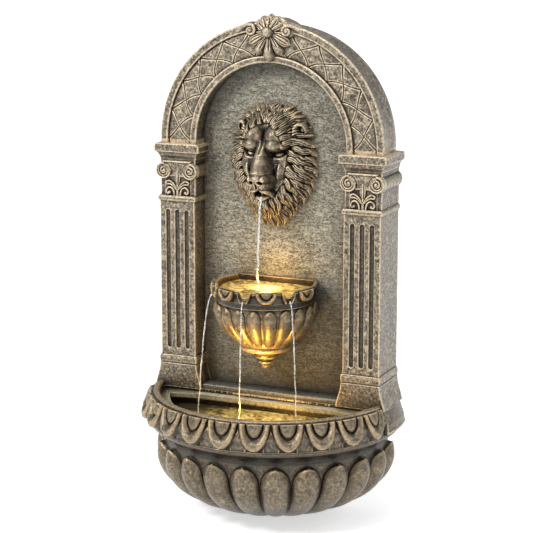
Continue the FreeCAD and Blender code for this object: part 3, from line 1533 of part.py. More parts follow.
def make_splice_box():
    body = new_body("splice_box")
    sketch = new_sketch(body, "XZ_Plane", "splice_outline")
    draw_polygon(sketch, rectangle(0, S.splice_long, 0, S.splice_high))
    pad(body, sketch, S.splice_deep, "splice_block", True)
    feet = new_sketch(body, "XZ_Plane", "splice_feet")
    for x in (0.0, S.splice_long - 7.0):
        draw_polygon(feet, rectangle(x, x + 7.0, 0, S.splice_high))
    pad(body, feet, 2.0, "splice_foot_pads")
    return body


def hexagon_body(label, across, height, bore=None):
    """A hexagon nut or head on the XY plane."""
    body = new_body(label)
    sketch = new_sketch(body, "XY_Plane", f"{label}_hexagon")
    radius = across / math.sqrt(3)
    corners = [
        (radius * math.cos(math.radians(60 * i + 0.001)), radius * math.sin(math.radians(60 * i + 0.001)))
        for i in range(6)
    ]
    draw_polygon(sketch, corners)
    pad(body, sketch, height, f"{label}_prism")
    if bore:
        hole = new_sketch(body, "XY_Plane", f"{label}_bore_sketch")
        draw_ring(hole, PEG_SIDES, bore)
        pocket(body, hole, f"{label}_bore")
    return body


def make_fasteners():
    """Every screw, bolt and nut, each kind as one group."""
    sunk = sunk_screw("sunk_screw_form", 13.0)
    pan = pan_screw("pan_screw_form", small_screw(), S.panel_thick + 4.5)
    bolt = hexagon_body("bolt_head_form", 10.0, 4.0)
    shank = new_sketch(bolt, "XY_Plane", "bolt_shank_sketch")
    draw_ring(shank, PEG_SIDES, S.bolt_radius)
    pad(bolt, shank, 4.0 + S.cast_wall + S.flange_thick + 7.0, "bolt_shank")
    nut = hexagon_body("nut_form", 10.0, 5.0, S.bolt_radius)
    doc.recompute()
    group("rear_cover_screws", sunk, [Placement(p + Y * S.cover_thick, OUTWARD) for p in boss_places()])
    group("access_cover_screws", sunk,
          [Placement(p + Y * S.cover_thick, OUTWARD) for p in access_screw_places()])
    hangers = [p + Y * S.hanger_thick for side in (-1, 1) for p in hanger_screw_places(side)]
    group("hanger_screws", sunk, [Placement(p, OUTWARD) for p in hangers])
    for label, spots in (("bowl_screws", bowl_screw_places()), ("mask_screws", mask_screw_places())):
        group(label, pan, [Placement(Vector(x, PANEL_BACK, z), OUTWARD) for x, z in spots])
    under = S.deck_height - S.cast_wall - 4.0
    group("joint_bolts", bolt, [Placement(Vector(x, y, under), Rotation()) for x, y in bolt_places()])
    group("joint_nuts", nut, [Placement(Vector(x, y, FLANGE_TOP), Rotation()) for x, y in bolt_places()])


lower_basin = shaped("lower_basin", make_basin())
back_shell = shaped("back_shell", make_back())
upper_bowl = shaped("upper_bowl", make_bowl())
lion_mask = shaped("lion_mask", make_mask())
keystone_shell = shaped("keystone_shell", make_shell())
shaped("rear_cover", make_rear_cover())
shaped("access_cover", make_access_cover())
shaped("left_hanger_plate", make_hanger(-1))
shaped("right_hanger_plate", make_hanger(1))
make_fasteners()

shaped("spout_elbow", make_spout())
shaped("riser_hose", make_hose())
shaped(
    "hose_clips",
    Part.makeCompound([saddle(10, S.hose_radius, x, z) for x, z in HOSE_CLIPS]),
)
shaped(
    "lead_clips",
    Part.makeCompound([saddle(5, S.lead_radius, upper_lead_entry().x, z) for z in LEAD_CLIPS]),
)
clamp = turned(
    "hose_clamp_form",
    [
        (S.hose_radius, 0),
        (S.hose_radius + 1.2, 0),
        (S.hose_radius + 1.2, 7),
        (S.hose_radius, 7),
    ],
)
doc.recompute()
group(
    "hose_clamps",
    clamp,
    [
        Placement(Vector(OUTLET_X, PUMP_Y, PUMP_TOP + 8), Rotation()),
        Placement(Vector(0, S.riser_back, SPOUT_HEIGHT - S.spout_radius - 18), Rotation()),
    ],
)
bulkhead = grommet("hose_bulkhead", bulkhead_neck(), bulkhead_neck() + 3.5, S.hose_radius, S.cast_wall)
place(keep(bulkhead), OUTLET_X, PARTITION_FRONT, S.hose_pass, OUTWARD)
ring = grommet("lead_grommet_form", grommet_neck(), grommet_neck() + 2.2, S.lead_radius, S.cast_wall)
doc.recompute()
group(
    "lead_grommets",
    ring,
    [Placement(Vector(x, PARTITION_FRONT, S.lead_pass), OUTWARD) for x in lead_places()],
)
gland = turned(
    "cord_gland",
    [
        (S.gland_bore, -6),
        (S.gland_body - 2, -6),
        (S.gland_body, 0),
        (S.gland_body, 14),
        (S.gland_body + 3, 14),
        (S.gland_body + 3, 17),
        (S.gland_bore, 17),
    ],
)
place(keep(gland), -S.gland_x, GLAND_Y, GLAND_LOW)

place(keep(make_pump_housing()), PUMP_LEFT, PUMP_Y, PUMP_AXIS)
place(keep(make_intake_cover()), PUMP_LEFT, PUMP_Y, PUMP_AXIS)
place(keep(make_knob()), PUMP_LEFT - S.intake_thick, PUMP_Y + KNOB_Y, PUMP_AXIS, Rotation(Z, -X))
rotor_end = PUMP_LEFT + S.chamber_depth + S.rotor_long - 0.5
place(keep(make_rotor()), rotor_end, PUMP_Y, PUMP_AXIS, Rotation(Z, -X))
pump_shaft = turned(
    "pump_shaft",
    [(0, 0), (S.shaft_radius, 0), (S.shaft_radius, S.rotor_long + 13), (0, S.rotor_long + 13)],
)
place(keep(pump_shaft), rotor_end + 4.5, PUMP_Y, PUMP_AXIS, Rotation(Z, -X))
outlet = turned(
    "pump_outlet",
    [
        (S.hose_bore - 1.3, 0),
        (S.hose_radius + 2.5, 0),
        (S.hose_radius + 2.5, 3),
        (S.hose_bore + 1, 3),
        (S.hose_bore + 1, 6),
        (S.hose_bore, 6),
        (S.hose_bore, 20),
        (S.hose_bore - 1.3, 20),
    ],
)
place(keep(outlet), OUTLET_X, PUMP_Y, PUMP_TOP)
cup = stepped("suction_cup_form", [(0.0, 3.0, S.cup_radius, 2.5), (3.0, S.cup_height, 2.5, 2.5)], 12)
doc.recompute()
cup_x, cup_y = S.pump_long / 2 - 8, S.pump_wide / 2 - 9
pump_middle = PUMP_LEFT + S.pump_long / 2
group(
    "pump_suction_cups",
    cup,
    [
        Placement(Vector(pump_middle + sx * cup_x, PUMP_Y + sy * cup_y, S.floor_height), Rotation())
        for sx in (-1, 1)
        for sy in (-1, 1)
    ],
)
make_light("upper_light", 0.0, LIGHT_Y, S.light_base)
make_light("lower_light", S.low_light_x, LOW_LIGHT_Y, S.floor_height)
place(keep(make_splice_box()), S.splice_left, PARTITION_BACK + 2.0, SPLICE_LOW)

pump_lead_x, light_lead_x = lead_places()
make_lead(
    "pump_lead",
    wall_lead_points(
        pump_lead_x,
        [Vector(S.pump_right, PUMP_Y, PUMP_TOP - 12), Vector(pump_lead_x, PUMP_Y, PUMP_TOP - 12)],
    ),
)
low_lead_z = S.floor_height + S.puck_height / 2
make_lead(
    "lower_light_lead",
    wall_lead_points(light_lead_x, [Vector(light_lead_x, LOW_LIGHT_Y + S.puck_radius, low_lead_z)]),
)
entry = upper_lead_entry()
puck_edge = LIGHT_Y + math.sqrt(S.puck_radius**2 - entry.x**2) + 0.2
splice_y = PARTITION_BACK + 2 + S.splice_deep / 2
make_lead(
    "upper_light_lead",
    [
        Vector(entry.x, puck_edge, entry.z),
        Vector(entry.x, S.riser_back, entry.z),
        Vector(entry.x, S.riser_back, S.deck_height - 18),
        Vector(entry.x, splice_y, S.deck_height - 38),
        Vector(entry.x, splice_y, SPLICE_LOW + S.splice_high),
    ],
)

doc.recompute()
faults = [o.Label for o in doc.Objects if {"Invalid", "Error"} & set(o.State)]
for node in NODES:
    if node.Shape.isNull() or not node.Shape.isValid() or not node.Shape.Solids:
        faults.append(node.Label)
if faults:
    raise SystemExit(f"not built: {faults}")
os.makedirs("parts", exist_ok=True)
for node in NODES:
    node.Shape.exportStep(f"parts/{node.Label}.step")
print(f"{len(NODES)} nodes")
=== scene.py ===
import math

import bmesh
import bpy
import numpy as np
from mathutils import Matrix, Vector


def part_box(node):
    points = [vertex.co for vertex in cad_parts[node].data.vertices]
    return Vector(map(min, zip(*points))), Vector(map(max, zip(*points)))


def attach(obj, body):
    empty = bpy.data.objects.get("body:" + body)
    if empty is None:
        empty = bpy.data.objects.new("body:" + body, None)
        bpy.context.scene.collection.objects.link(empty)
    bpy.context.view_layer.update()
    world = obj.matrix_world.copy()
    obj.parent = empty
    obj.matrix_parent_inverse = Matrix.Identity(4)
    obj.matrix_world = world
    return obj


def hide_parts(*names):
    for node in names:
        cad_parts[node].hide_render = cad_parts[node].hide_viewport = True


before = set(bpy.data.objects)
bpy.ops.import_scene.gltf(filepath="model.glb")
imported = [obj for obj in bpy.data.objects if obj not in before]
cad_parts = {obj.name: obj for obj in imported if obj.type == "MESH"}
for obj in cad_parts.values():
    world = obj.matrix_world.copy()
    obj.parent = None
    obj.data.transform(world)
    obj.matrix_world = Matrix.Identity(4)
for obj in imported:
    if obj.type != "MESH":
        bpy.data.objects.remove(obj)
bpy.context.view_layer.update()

# Lengths are in millimetres up to add_mesh, which turns them into metres.
# X is to the right, Y to the wall, Z up, and the origin is the middle of the basin's foot.
MM = 0.001
ROOT = "fountain"


def node_box(node):
    """Lowest and highest corner of a CAD node, in millimetres."""
    low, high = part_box(node)
    return [v / MM for v in low], [v / MM for v in high]


back_low, back_high = node_box("back_shell")
light_low, light_high = node_box("upper_light_lens")

WALL = back_high[1]
DECK = back_low[2]
CREST = node_box("lower_basin")[1][2]
SHELL_TOP = node_box("keystone_shell")[1][2]
LIGHT_Y = (light_low[1] + light_high[1]) / 2
SIDE_NAMES = {-1: "left", 1: "right"}

# Points nearer than this are welded: in most meshes, between a relief's cells, between turned rows.
WELD = 0.02
CELL_WELD = 0.001
ROW_WELD = 0.0005
# Edges shorter than this are dissolved.
SLIVER = 0.001

# The basin
FOOT_RADIUS = 51.0
BELLY_SPAN = 144.0
BELLY_TOP = 126.0
LOBE_DEPTH = 17.0
LOBE_COUNT = 23
NECK_RADIUS = 182.5
RIM_EDGE = (198, 195)
LEDGE_TOP = DECK - 5.0
LEDGE_THICK = 6.0
LEDGE_REACH = 184
PARTITION_Y = -30.0
LEDGE_Y = -45.0
SEAT_Y = -37.5
WATER_LEVEL = 165.0
LEAF_PITCH = 14.4
LEAF_RADIUS = 205.0
LEAF_EGG = 0.27
LEAF_GROOVE = 0.34

# The arched back
PANEL_Y = 4.0
SILL_Y = -28.0
SILL_TOP = DECK + 8.0
PILASTER_IN = 127.5
PILASTER_OUT = 188.7
PILASTER_Y = -34.0
ARCH_Z = 594.7
ARCH_Y = -26.4
ARCH_OUTER = 190.0
ARCH_BACK = 183.0
ARCH_INNER = 127.5
BAND_OUTER = 177.3
BAND_INNER = 138.3
LATTICE_FIRST = 19.2
LATTICE_PITCH = 15.7
BAND_LOW = 229.0
SHAFT_LOW = 243.0
SHAFT_TOP = 496.0
CAPITAL_LOW = 505.0
CAPITAL_TOP = 563.0
ABACUS_LOW = 575.0
ABACUS_TOP = 588.0
CAPITAL_RECESS = 4.2
SCROLL_X = 23.0
SCROLL_Z = 545.0
SCROLL_RADIUS = 13.3

# The upper bowl
BOWL_Y = -40.5
BOWL_TOP = 380.0
BOWL_BACK = -2.0
BOWL_EDGE = (80.5, 379)
BOWL_WATER = 371.5
BOWL_LEAF_STEP = 24.5
BOWL_LEAF_RADIUS = 84.0

# The lion
MASK_Z = 560.0
SPOUT_Z = 522.0
FACE_X = -3.5
FACE_Z = 572.0
FACE_HALF = 37.0
FACE_TALL = 57.0
MANE_X = -4.0
MANE_Z = 559.0
MANE_HALF = 67.0
MANE_TALL = 89.0
MANE_TAPER = 0.42
MOUTH_Z = 524.0
FLOW_TURN = 0.62


# Meshes


def add_object(name, data):
    """Puts an object with this data into the scene."""
    piece = bpy.data.objects.new(name, data)
    bpy.context.scene.collection.objects.link(piece)
    return piece


def add_mesh(name, points, faces, body=ROOT, smooth=True):
    """A mesh piece from points in millimetres, which rides on a body."""
    mesh = bpy.data.meshes.new(name)
    mesh.from_pydata((np.asarray(points, float).reshape(-1, 3) * MM).tolist(), [], faces)
    mesh.validate()
    mesh.update()
    if smooth:
        mesh.shade_smooth()
    piece = add_object(name, mesh)
    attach(piece, body)
    return piece


def add_box(name, low, high):
    """A plain box between two corners, in millimetres."""
    corners = [(x, y, z) for z in (low[2], high[2]) for y in (low[1], high[1]) for x in (low[0], high[0])]
    faces = [(0, 2, 3, 1), (4, 5, 7, 6), (0, 1, 5, 4), (2, 6, 7, 3), (0, 4, 6, 2), (1, 3, 7, 5)]
    return add_mesh(name, corners, faces, smooth=False)


def grid_faces(rows, columns, wrap_rows=False, wrap_columns=False, start=0):
    """Quads of a grid of points that is stored row by row."""
    r = np.arange(rows if wrap_rows else rows - 1)
    c = np.arange(columns if wrap_columns else columns - 1)
    row, column = np.meshgrid(r, c, indexing="ij")
    low, high = row * columns, (row + 1) % rows * columns
    after = (column + 1) % columns
    quads = np.stack([low + column, low + after, high + after, high + column], axis=-1)
    return (quads.reshape(-1, 4) + start).tolist()


def tube_faces(rows, columns, start=0, flip=False):
    """Faces of a grid that is wrapped into a tube, with a flat cap on its first and last row."""
    caps = [[start + i for i in range(columns)][::-1],
            [start + (rows - 1) * columns + i for i in range(columns)]]
    caps = [cap[::-1] for cap in caps] if flip else caps
    return grid_faces(rows, columns, wrap_columns=True, start=start) + caps


def sweep_faces(rows, columns):
    """Faces of a closed section, a point to a row, that is swept along the columns and capped."""
    caps = [[i * columns for i in range(rows)], [i * columns + columns - 1 for i in range(rows)][::-1]]
    return grid_faces(rows, columns, wrap_rows=True) + caps


def weld(piece, distance=WELD):
    """Closes seams and drops faces with no area."""
    mesh = piece.data
    bm = bmesh.new()
    bm.from_mesh(mesh)
    bmesh.ops.remove_doubles(bm, verts=bm.verts, dist=distance * MM)
    bmesh.ops.dissolve_degenerate(bm, edges=bm.edges, dist=SLIVER * MM)
    bmesh.ops.recalc_face_normals(bm, faces=bm.faces)
    bm.to_mesh(mesh)
    bm.free()
    mesh.shade_smooth()
    return piece


def apply_modifiers(piece):
    """Bakes the modifiers of a piece into its mesh."""
    graph = bpy.context.evaluated_depsgraph_get()
    mesh = bpy.data.meshes.new_from_object(piece.evaluated_get(graph))
    piece.modifiers.clear()
    old = piece.data
    piece.data = mesh
    bpy.data.meshes.remove(old)
    return piece


def cut_away(piece, low, high):
    """Cuts a box out of a piece, with the second solver where the first one changes nothing."""
    bm = bmesh.new()
    bmesh.ops.create_cube(bm, size=1.0)
    mesh = bpy.data.meshes.new("cutter")
    for vert in bm.verts:
        vert.co = [(l + h) / 2 * MM + c * (h - l) * MM for l, h, c in zip(low, high, vert.co)]
    bm.to_mesh(mesh)
    bm.free()
    cutter = add_object("cutter", mesh)
    before = len(piece.data.vertices)
    for solver in ("MANIFOLD", "EXACT"):
        modifier = piece.modifiers.new("cut", "BOOLEAN")
        modifier.operation = "DIFFERENCE"
        modifier.solver = solver
        modifier.object = cutter
        apply_modifiers(piece)
        if len(piece.data.vertices) != before:
            break
    bpy.data.objects.remove(cutter)
    return piece


def close_sheets(name, front, behind):
    """A closed mesh between two grids of the same shape."""
    rows, columns = front.shape[:2]
    second = rows * columns
    faces = grid_faces(rows, columns)
    faces += [[i + second for i in reversed(f)] for f in faces]
    loop = [(0, c) for c in range(columns)] + [(r, columns - 1) for r in range(1, rows)]
    loop += [(rows - 1, c) for c in range(columns - 2, -1, -1)]
    loop += [(r, 0) for r in range(rows - 2, 0, -1)]
    index = [r * columns + c for r, c in loop]
    faces += [[a, b, b + second, a + second] for a, b in zip(index, index[1:] + index[:1])]
    return weld(add_mesh(name, np.vstack([front.reshape(-1, 3), behind.reshape(-1, 3)]), faces))


def resample(corners, step):
    """Points about every step along a path of corners of any width, corners kept."""
    out = [np.array(corners[0], float)]
    for a, b in zip(corners, corners[1:]):
        a, b = np.array(a, float), np.array(b, float)
        count = max(1, int(round(np.linalg.norm((b - a)[:2]) / step)))
        out.extend(a + (b - a) * (i + 1) / count for i in range(count))
    return np.array(out)


def smooth_path(points, count):
    """A Catmull-Rom curve through points of any width, sampled evenly in its parameter."""
    p = np.array(points, float)
    p = np.vstack([2 * p[0] - p[1], p, 2 * p[-1] - p[-2]])
    spans = len(points) - 1
    out = []
    for t in np.linspace(0, spans, count):
        i = min(int(t), spans - 1)
        u = t - i
        a, b, c, d = p[i : i + 4]
        out.append(
            0.5 * (2 * b + (c - a) * u + (2 * a - 5 * b + 4 * c - d) * u**2 + (3 * b - a - 3 * c + d) * u**3)
        )
    return np.array(out)


def chain(*lines):
    """Joins lines that each begin at the last point of the one before."""
    first, *others = (np.asarray(line, float) for line in lines)
    return np.vstack([first] + [line[1:] for line in others])


def round_corners(inner, outer, front, radius, count):
    """The two round front corners of a section that stands between an inner and an outer line."""
    turns = np.linspace(0, math.pi / 2, count)
    first = [(inner + radius * (1 - math.cos(a)), front + radius * (1 - math.sin(a))) for a in turns]
    last = [(outer - radius + radius * math.sin(a), front + radius * (1 - math.cos(a))) for a in turns]
    return first, last


def smoothstep(x, low, high):
    """0 up to low, 1 from high on, and an even curve between them."""
    t = np.clip((x - low) / (high - low), 0, 1)
    return t * t * (3 - 2 * t)


def add_strands(name, grids):
    """Closed strands, a ring of points to a row, as one mesh."""
    faces, start = [], 0
    for grid in grids:
        rows, sides = grid.shape[:2]
        faces += tube_faces(rows, sides, start)
        start += rows * sides
    return add_mesh(name, np.vstack([grid.reshape(-1, 3) for grid in grids]), faces)


class Relief:
    """A height map over X and Z, in millimetres, that a casting's front is moulded from."""

    EMPTY = -20.0

    def __init__(self, x_range, z_range, step):
        self.xs = np.arange(x_range[0], x_range[1] + step / 2, step)
        self.zs = np.arange(z_range[0], z_range[1] + step / 2, step)
        self.x, self.z = np.meshgrid(self.xs, self.zs)
        self.step = step
        self.height = np.full(self.x.shape, self.EMPTY)

    def join(self, other, blend=3.0):
        """Smooth union with another height map."""
        gap = np.maximum(blend - np.abs(self.height - other), 0)
        self.height = np.maximum(self.height, other) + gap**2 / (4 * blend)

    def tilted(self, centre, tilt):
        """Coordinates about a centre, tilted clockwise by an angle in degrees."""
        c, s = math.cos(math.radians(tilt)), math.sin(math.radians(tilt))
        dx, dz = self.x - centre[0], self.z - centre[1]
        return dx * c - dz * s, dz * c + dx * s

    def ellipse(self, centre, half, tilt):
        """0 at the centre of a tilted ellipse and 1 on its outline."""
        u, v = self.tilted(centre, tilt)
        return (u / half[0]) ** 2 + (v / half[1]) ** 2

    def dome(self, centre, top, half, depth, tilt=0.0, blend=3.0):
        """A round swelling that goes on falling steeply outside its ellipse."""
        q = self.ellipse(centre, half, tilt)
        edge = 0.8
        inside = np.sqrt(np.maximum(1 - q, 1 - edge))
        outside = (q - edge) / (2 * math.sqrt(1 - edge))
        self.join(top - depth + depth * (inside - np.maximum(outside, 0)), blend)

    def dent(self, centre, half, depth, tilt=0.0, sharp=1.4):
        """A soft-edged hollow."""
        self.height -= depth * np.exp(-(self.ellipse(centre, half, tilt) ** sharp))

    def at(self, x, z):
        """Heights at places, from the nearest cells."""
        row, column = (np.clip(np.rint((v - axis[0]) / self.step).astype(int), 0, len(axis) - 1)
                       for v, axis in ((z, self.zs), (x, self.xs)))
        return self.height[row, column]

    def near(self, px, pz, reach):
        """The cells within reach of a place, and their squared distance from it."""
        c0, c1 = np.searchsorted(self.xs, (px - reach, px + reach))
        r0, r1 = np.searchsorted(self.zs, (pz - reach, pz + reach))
        square = (self.zs[r0:r1, None] - pz) ** 2 + (self.xs[None, c0:c1] - px) ** 2
        return (slice(r0, r1), slice(c0, c1)), square

    def path(self, points, *values):
        """A smooth path through points, with the values along it, at even steps shorter than a cell."""
        rows = smooth_path(np.column_stack([points, *values]), 12 * len(points))
        length = np.concatenate([[0], np.cumsum(np.hypot(*np.diff(rows[:, :2], axis=0).T))])
        even = np.linspace(0, length[-1], max(4, int(length[-1] / (0.7 * self.step))))
        return np.column_stack([np.interp(even, length, column) for column in rows.T])

    def tube(self, points, radii, outs, flat=1.0):
        """A round strand along a path. The outs are the heights of its middle."""
        for px, pz, radius, out in self.path(points, radii, outs):
            cells, square = self.near(px, pz, radius)
            round_top = out + flat * np.sqrt(np.maximum(radius**2 - square, 0))
            target = self.height[cells]
            np.maximum(target, np.where(square < radius**2, round_top, self.EMPTY), out=target)

    def cord(self, points, radius, out, flat=1.0):
        """A strand that keeps its radius and the height of its middle."""
        self.tube(points, [radius] * len(points), [out] * len(points), flat)

    def score(self, points, width, depth):
        """Cuts a groove along a path."""
        cut = np.zeros_like(self.height)
        for px, pz in self.path(points):
            cells, square = self.near(px, pz, 2.5 * width)
            target = cut[cells]
            np.maximum(target, depth * np.exp(-square / width**2), out=target)
        self.height -= cut

    def leaf(self, root, angle, length, widths, crests, grooves=(), groove_end=0.8, floor=1.0):
        """A leaf from a root, turned from the vertical, with its half widths and crest heights along it."""
        across, along = self.tilted(root, angle)
        t = along / length
        knots = np.linspace(0, 1, len(widths))
        shape = smooth_path(np.column_stack([knots, widths, crests]), 120)
        width = np.maximum(np.interp(t, shape[:, 0], shape[:, 1]), 0.01)
        crest = np.interp(t, shape[:, 0], shape[:, 2])
        share = np.abs(across) / width
        height = floor + (crest - floor) * np.maximum(1 - share**2, 0) ** 0.45
        for groove in grooves:
            fade = smoothstep(-t, -groove_end, -groove_end + 0.12)
            height -= 2.2 * fade * np.exp(-(((share - groove) * width / 0.75) ** 2))
        self.height = np.maximum(self.height, np.where((t > 0) & (t < 1) & (share < 1), height, self.EMPTY))

    def soften(self, rounds=1):
        """Evens out the height map's steps."""
        for _ in range(rounds):
            h = self.height
            around = np.pad(h, 1, mode="edge")
            mean = (around[:-2, 1:-1] + around[2:, 1:-1] + around[1:-1, :-2] + around[1:-1, 2:]) / 4
            self.height = np.where(h > 0, 0.5 * h + 0.5 * np.maximum(mean, h - 2), h)

    def casting(self, name, front_y, back_y, floor=0.3):
        """A closed mesh of the cells over the floor, with a flat back."""
        h = self.height > floor
        keep = h[:-1, :-1] | h[1:, :-1] | h[:-1, 1:] | h[1:, 1:]
        for _ in range(3):
            a, b, c, d = keep[:-1, :-1], keep[:-1, 1:], keep[1:, 1:], keep[1:, :-1]
            corner = (a & c & ~b & ~d) | (b & d & ~a & ~c)
            for part in (a, b, c, d):
                part |= corner
        count = self.x.size
        front, back = (np.stack([self.x, y, self.z], axis=-1).reshape(-1, 3)
                       for y in (front_y - np.maximum(self.height, 0), np.full_like(self.x, back_y)))
        index = np.arange(count).reshape(self.x.shape)
        a, b, c, d = index[:-1, :-1], index[:-1, 1:], index[1:, 1:], index[1:, :-1]
        quads = [np.stack([a, b, c, d], -1)[keep], np.stack([d, c, b, a], -1)[keep] + count]
        padded = np.pad(keep, 1)
        sides = ((a, b, padded[:-2, 1:-1]), (b, c, padded[1:-1, 2:]), (c, d, padded[2:, 1:-1]),
                 (d, a, padded[1:-1, :-2]))
        for start, end, beside in sides:
            edge = keep & ~beside
            quads.append(np.stack([end, start, start + count, end + count], -1)[edge])
        faces = np.vstack(quads)
        used, faces = np.unique(faces, return_inverse=True)
        points = np.vstack([front, back])[used]
        return weld(add_mesh(name, points, faces.reshape(-1, 4).tolist()), CELL_WELD)


# The two turned bowls


def turned(profile, angles, relief, axis_y):
    """Rows of (radius, height, limit of y, softness of that limit) turned about Z.

    The relief is added as (outward, upward) and the limit cuts the back off flat.
    """
    radius, height = profile[:, 0:1], profile[:, 1:2]
    out, up = relief
    r = radius + out
    a = np.radians(angles)[None]
    x = r * np.sin(a)
    y = axis_y - r * np.cos(a)
    z = height + up + 0 * a
    limit, soft = profile[:, 2:3], profile[:, 3:4]
    cut = y > limit
    order = np.argsort(angles % 360)
    for row in range(len(profile)):
        hit = order[cut[row, order]]
        if len(hit) > 2:
            x[row, hit] = np.linspace(x[row, hit[0]], x[row, hit[-1]], len(hit))
    gap = np.abs(y - limit)
    blend = np.where(soft > 0, np.maximum(soft - gap, 0) ** 2 / np.maximum(4 * soft, 1e-6), 0)
    return np.stack([x, np.minimum(y, limit) - blend, z], axis=-1)


def profile_of(parts):
    """One profile from (points, limit of y, softness of that limit) for each part."""
    return np.vstack([np.column_stack([rows, np.full(len(rows), limit), np.full(len(rows), soft)])
                      for rows, limit, soft in parts])


def add_turned(name, grid):
    """A closed mesh of a turned grid, with a flat cap at each end."""
    return weld(add_mesh(name, grid, tube_faces(*grid.shape[:2])), ROW_WELD)


def lobes(angles, heights, pitch, offset, low_fade, cap_low, cap_top, fullness=0.97):
    """Height of round-ended gadroons over their ground, from 0 to 1: rows of heights, columns of angles."""
    across = ((angles[None] - offset) / pitch + 0.5) % 1.0 * 2 - 1
    z = heights[:, None]
    cap = np.clip((z - cap_low) / (cap_top - cap_low), 0, 1)
    foot = smoothstep(z, *low_fade)
    width = fullness * np.sqrt(np.maximum(1 - cap**2, 1e-4)) * (0.74 + 0.26 * foot)
    body = np.maximum(1 - (across / width) ** 2, 0) ** 0.7
    return body * (0.35 + 0.65 * foot) * (1 - 0.3 * cap**2) * (z < cap_top)


def off_centre(angles, centre, radius):
    """The distance along a rim from a centre, as one row."""
    return np.abs(np.radians(angles - centre) * radius)[None]


def leaf_fields(angles, run, centres, length, half_width, radius):
    """A map for each leaf that hangs from a crest: 0 at its root, 1 on its outline.

    Its rows are run millimetres from the crest.
    """
    drop = np.abs(run / length)[:, None] ** 1.9
    return [(off_centre(angles, centre, radius) / half_width) ** 2 + drop for centre in centres]


def egg_leaves(fields, run, thick):
    """Egg-and-leaf relief: a raised band along each leaf's edge and an egg at its root."""
    height = 0.0
    for q in fields:
        band_t = np.clip((q - LEAF_GROOVE) / (1 - LEAF_GROOVE), 0, 1)
        band = thick * np.sin(np.pi * band_t) ** 0.5 * (q < 1) * (q > LEAF_GROOVE)
        egg = thick * (0.1 + np.sqrt(np.maximum(1 - q / LEAF_EGG, 0))) * (q < LEAF_EGG)
        height = np.maximum(height, np.maximum(band, egg))
    return height * smoothstep(run, 0.0, 2.0)[:, None]


def leaf_cover(fields):
    """How much of a rim the leaves cover, from 0 between them to 1 on them."""
    return np.max([smoothstep(1.16 - q, 0.0, 0.24) for q in fields], axis=0)


def darts(angles, run, centres, length, half_width, radius, thick):
    """Low pointed fillers between the leaves, widest at the rim's lower edge."""
    s = np.clip(run / length, 0, 1)[:, None]
    reach = half_width * np.clip((s - 0.30) / 0.6, 0, 1)
    return np.max([thick * smoothstep(reach - off_centre(angles, centre, radius), -0.6, 1.4) * (s > 0.3)
                   for centre in centres], axis=0)


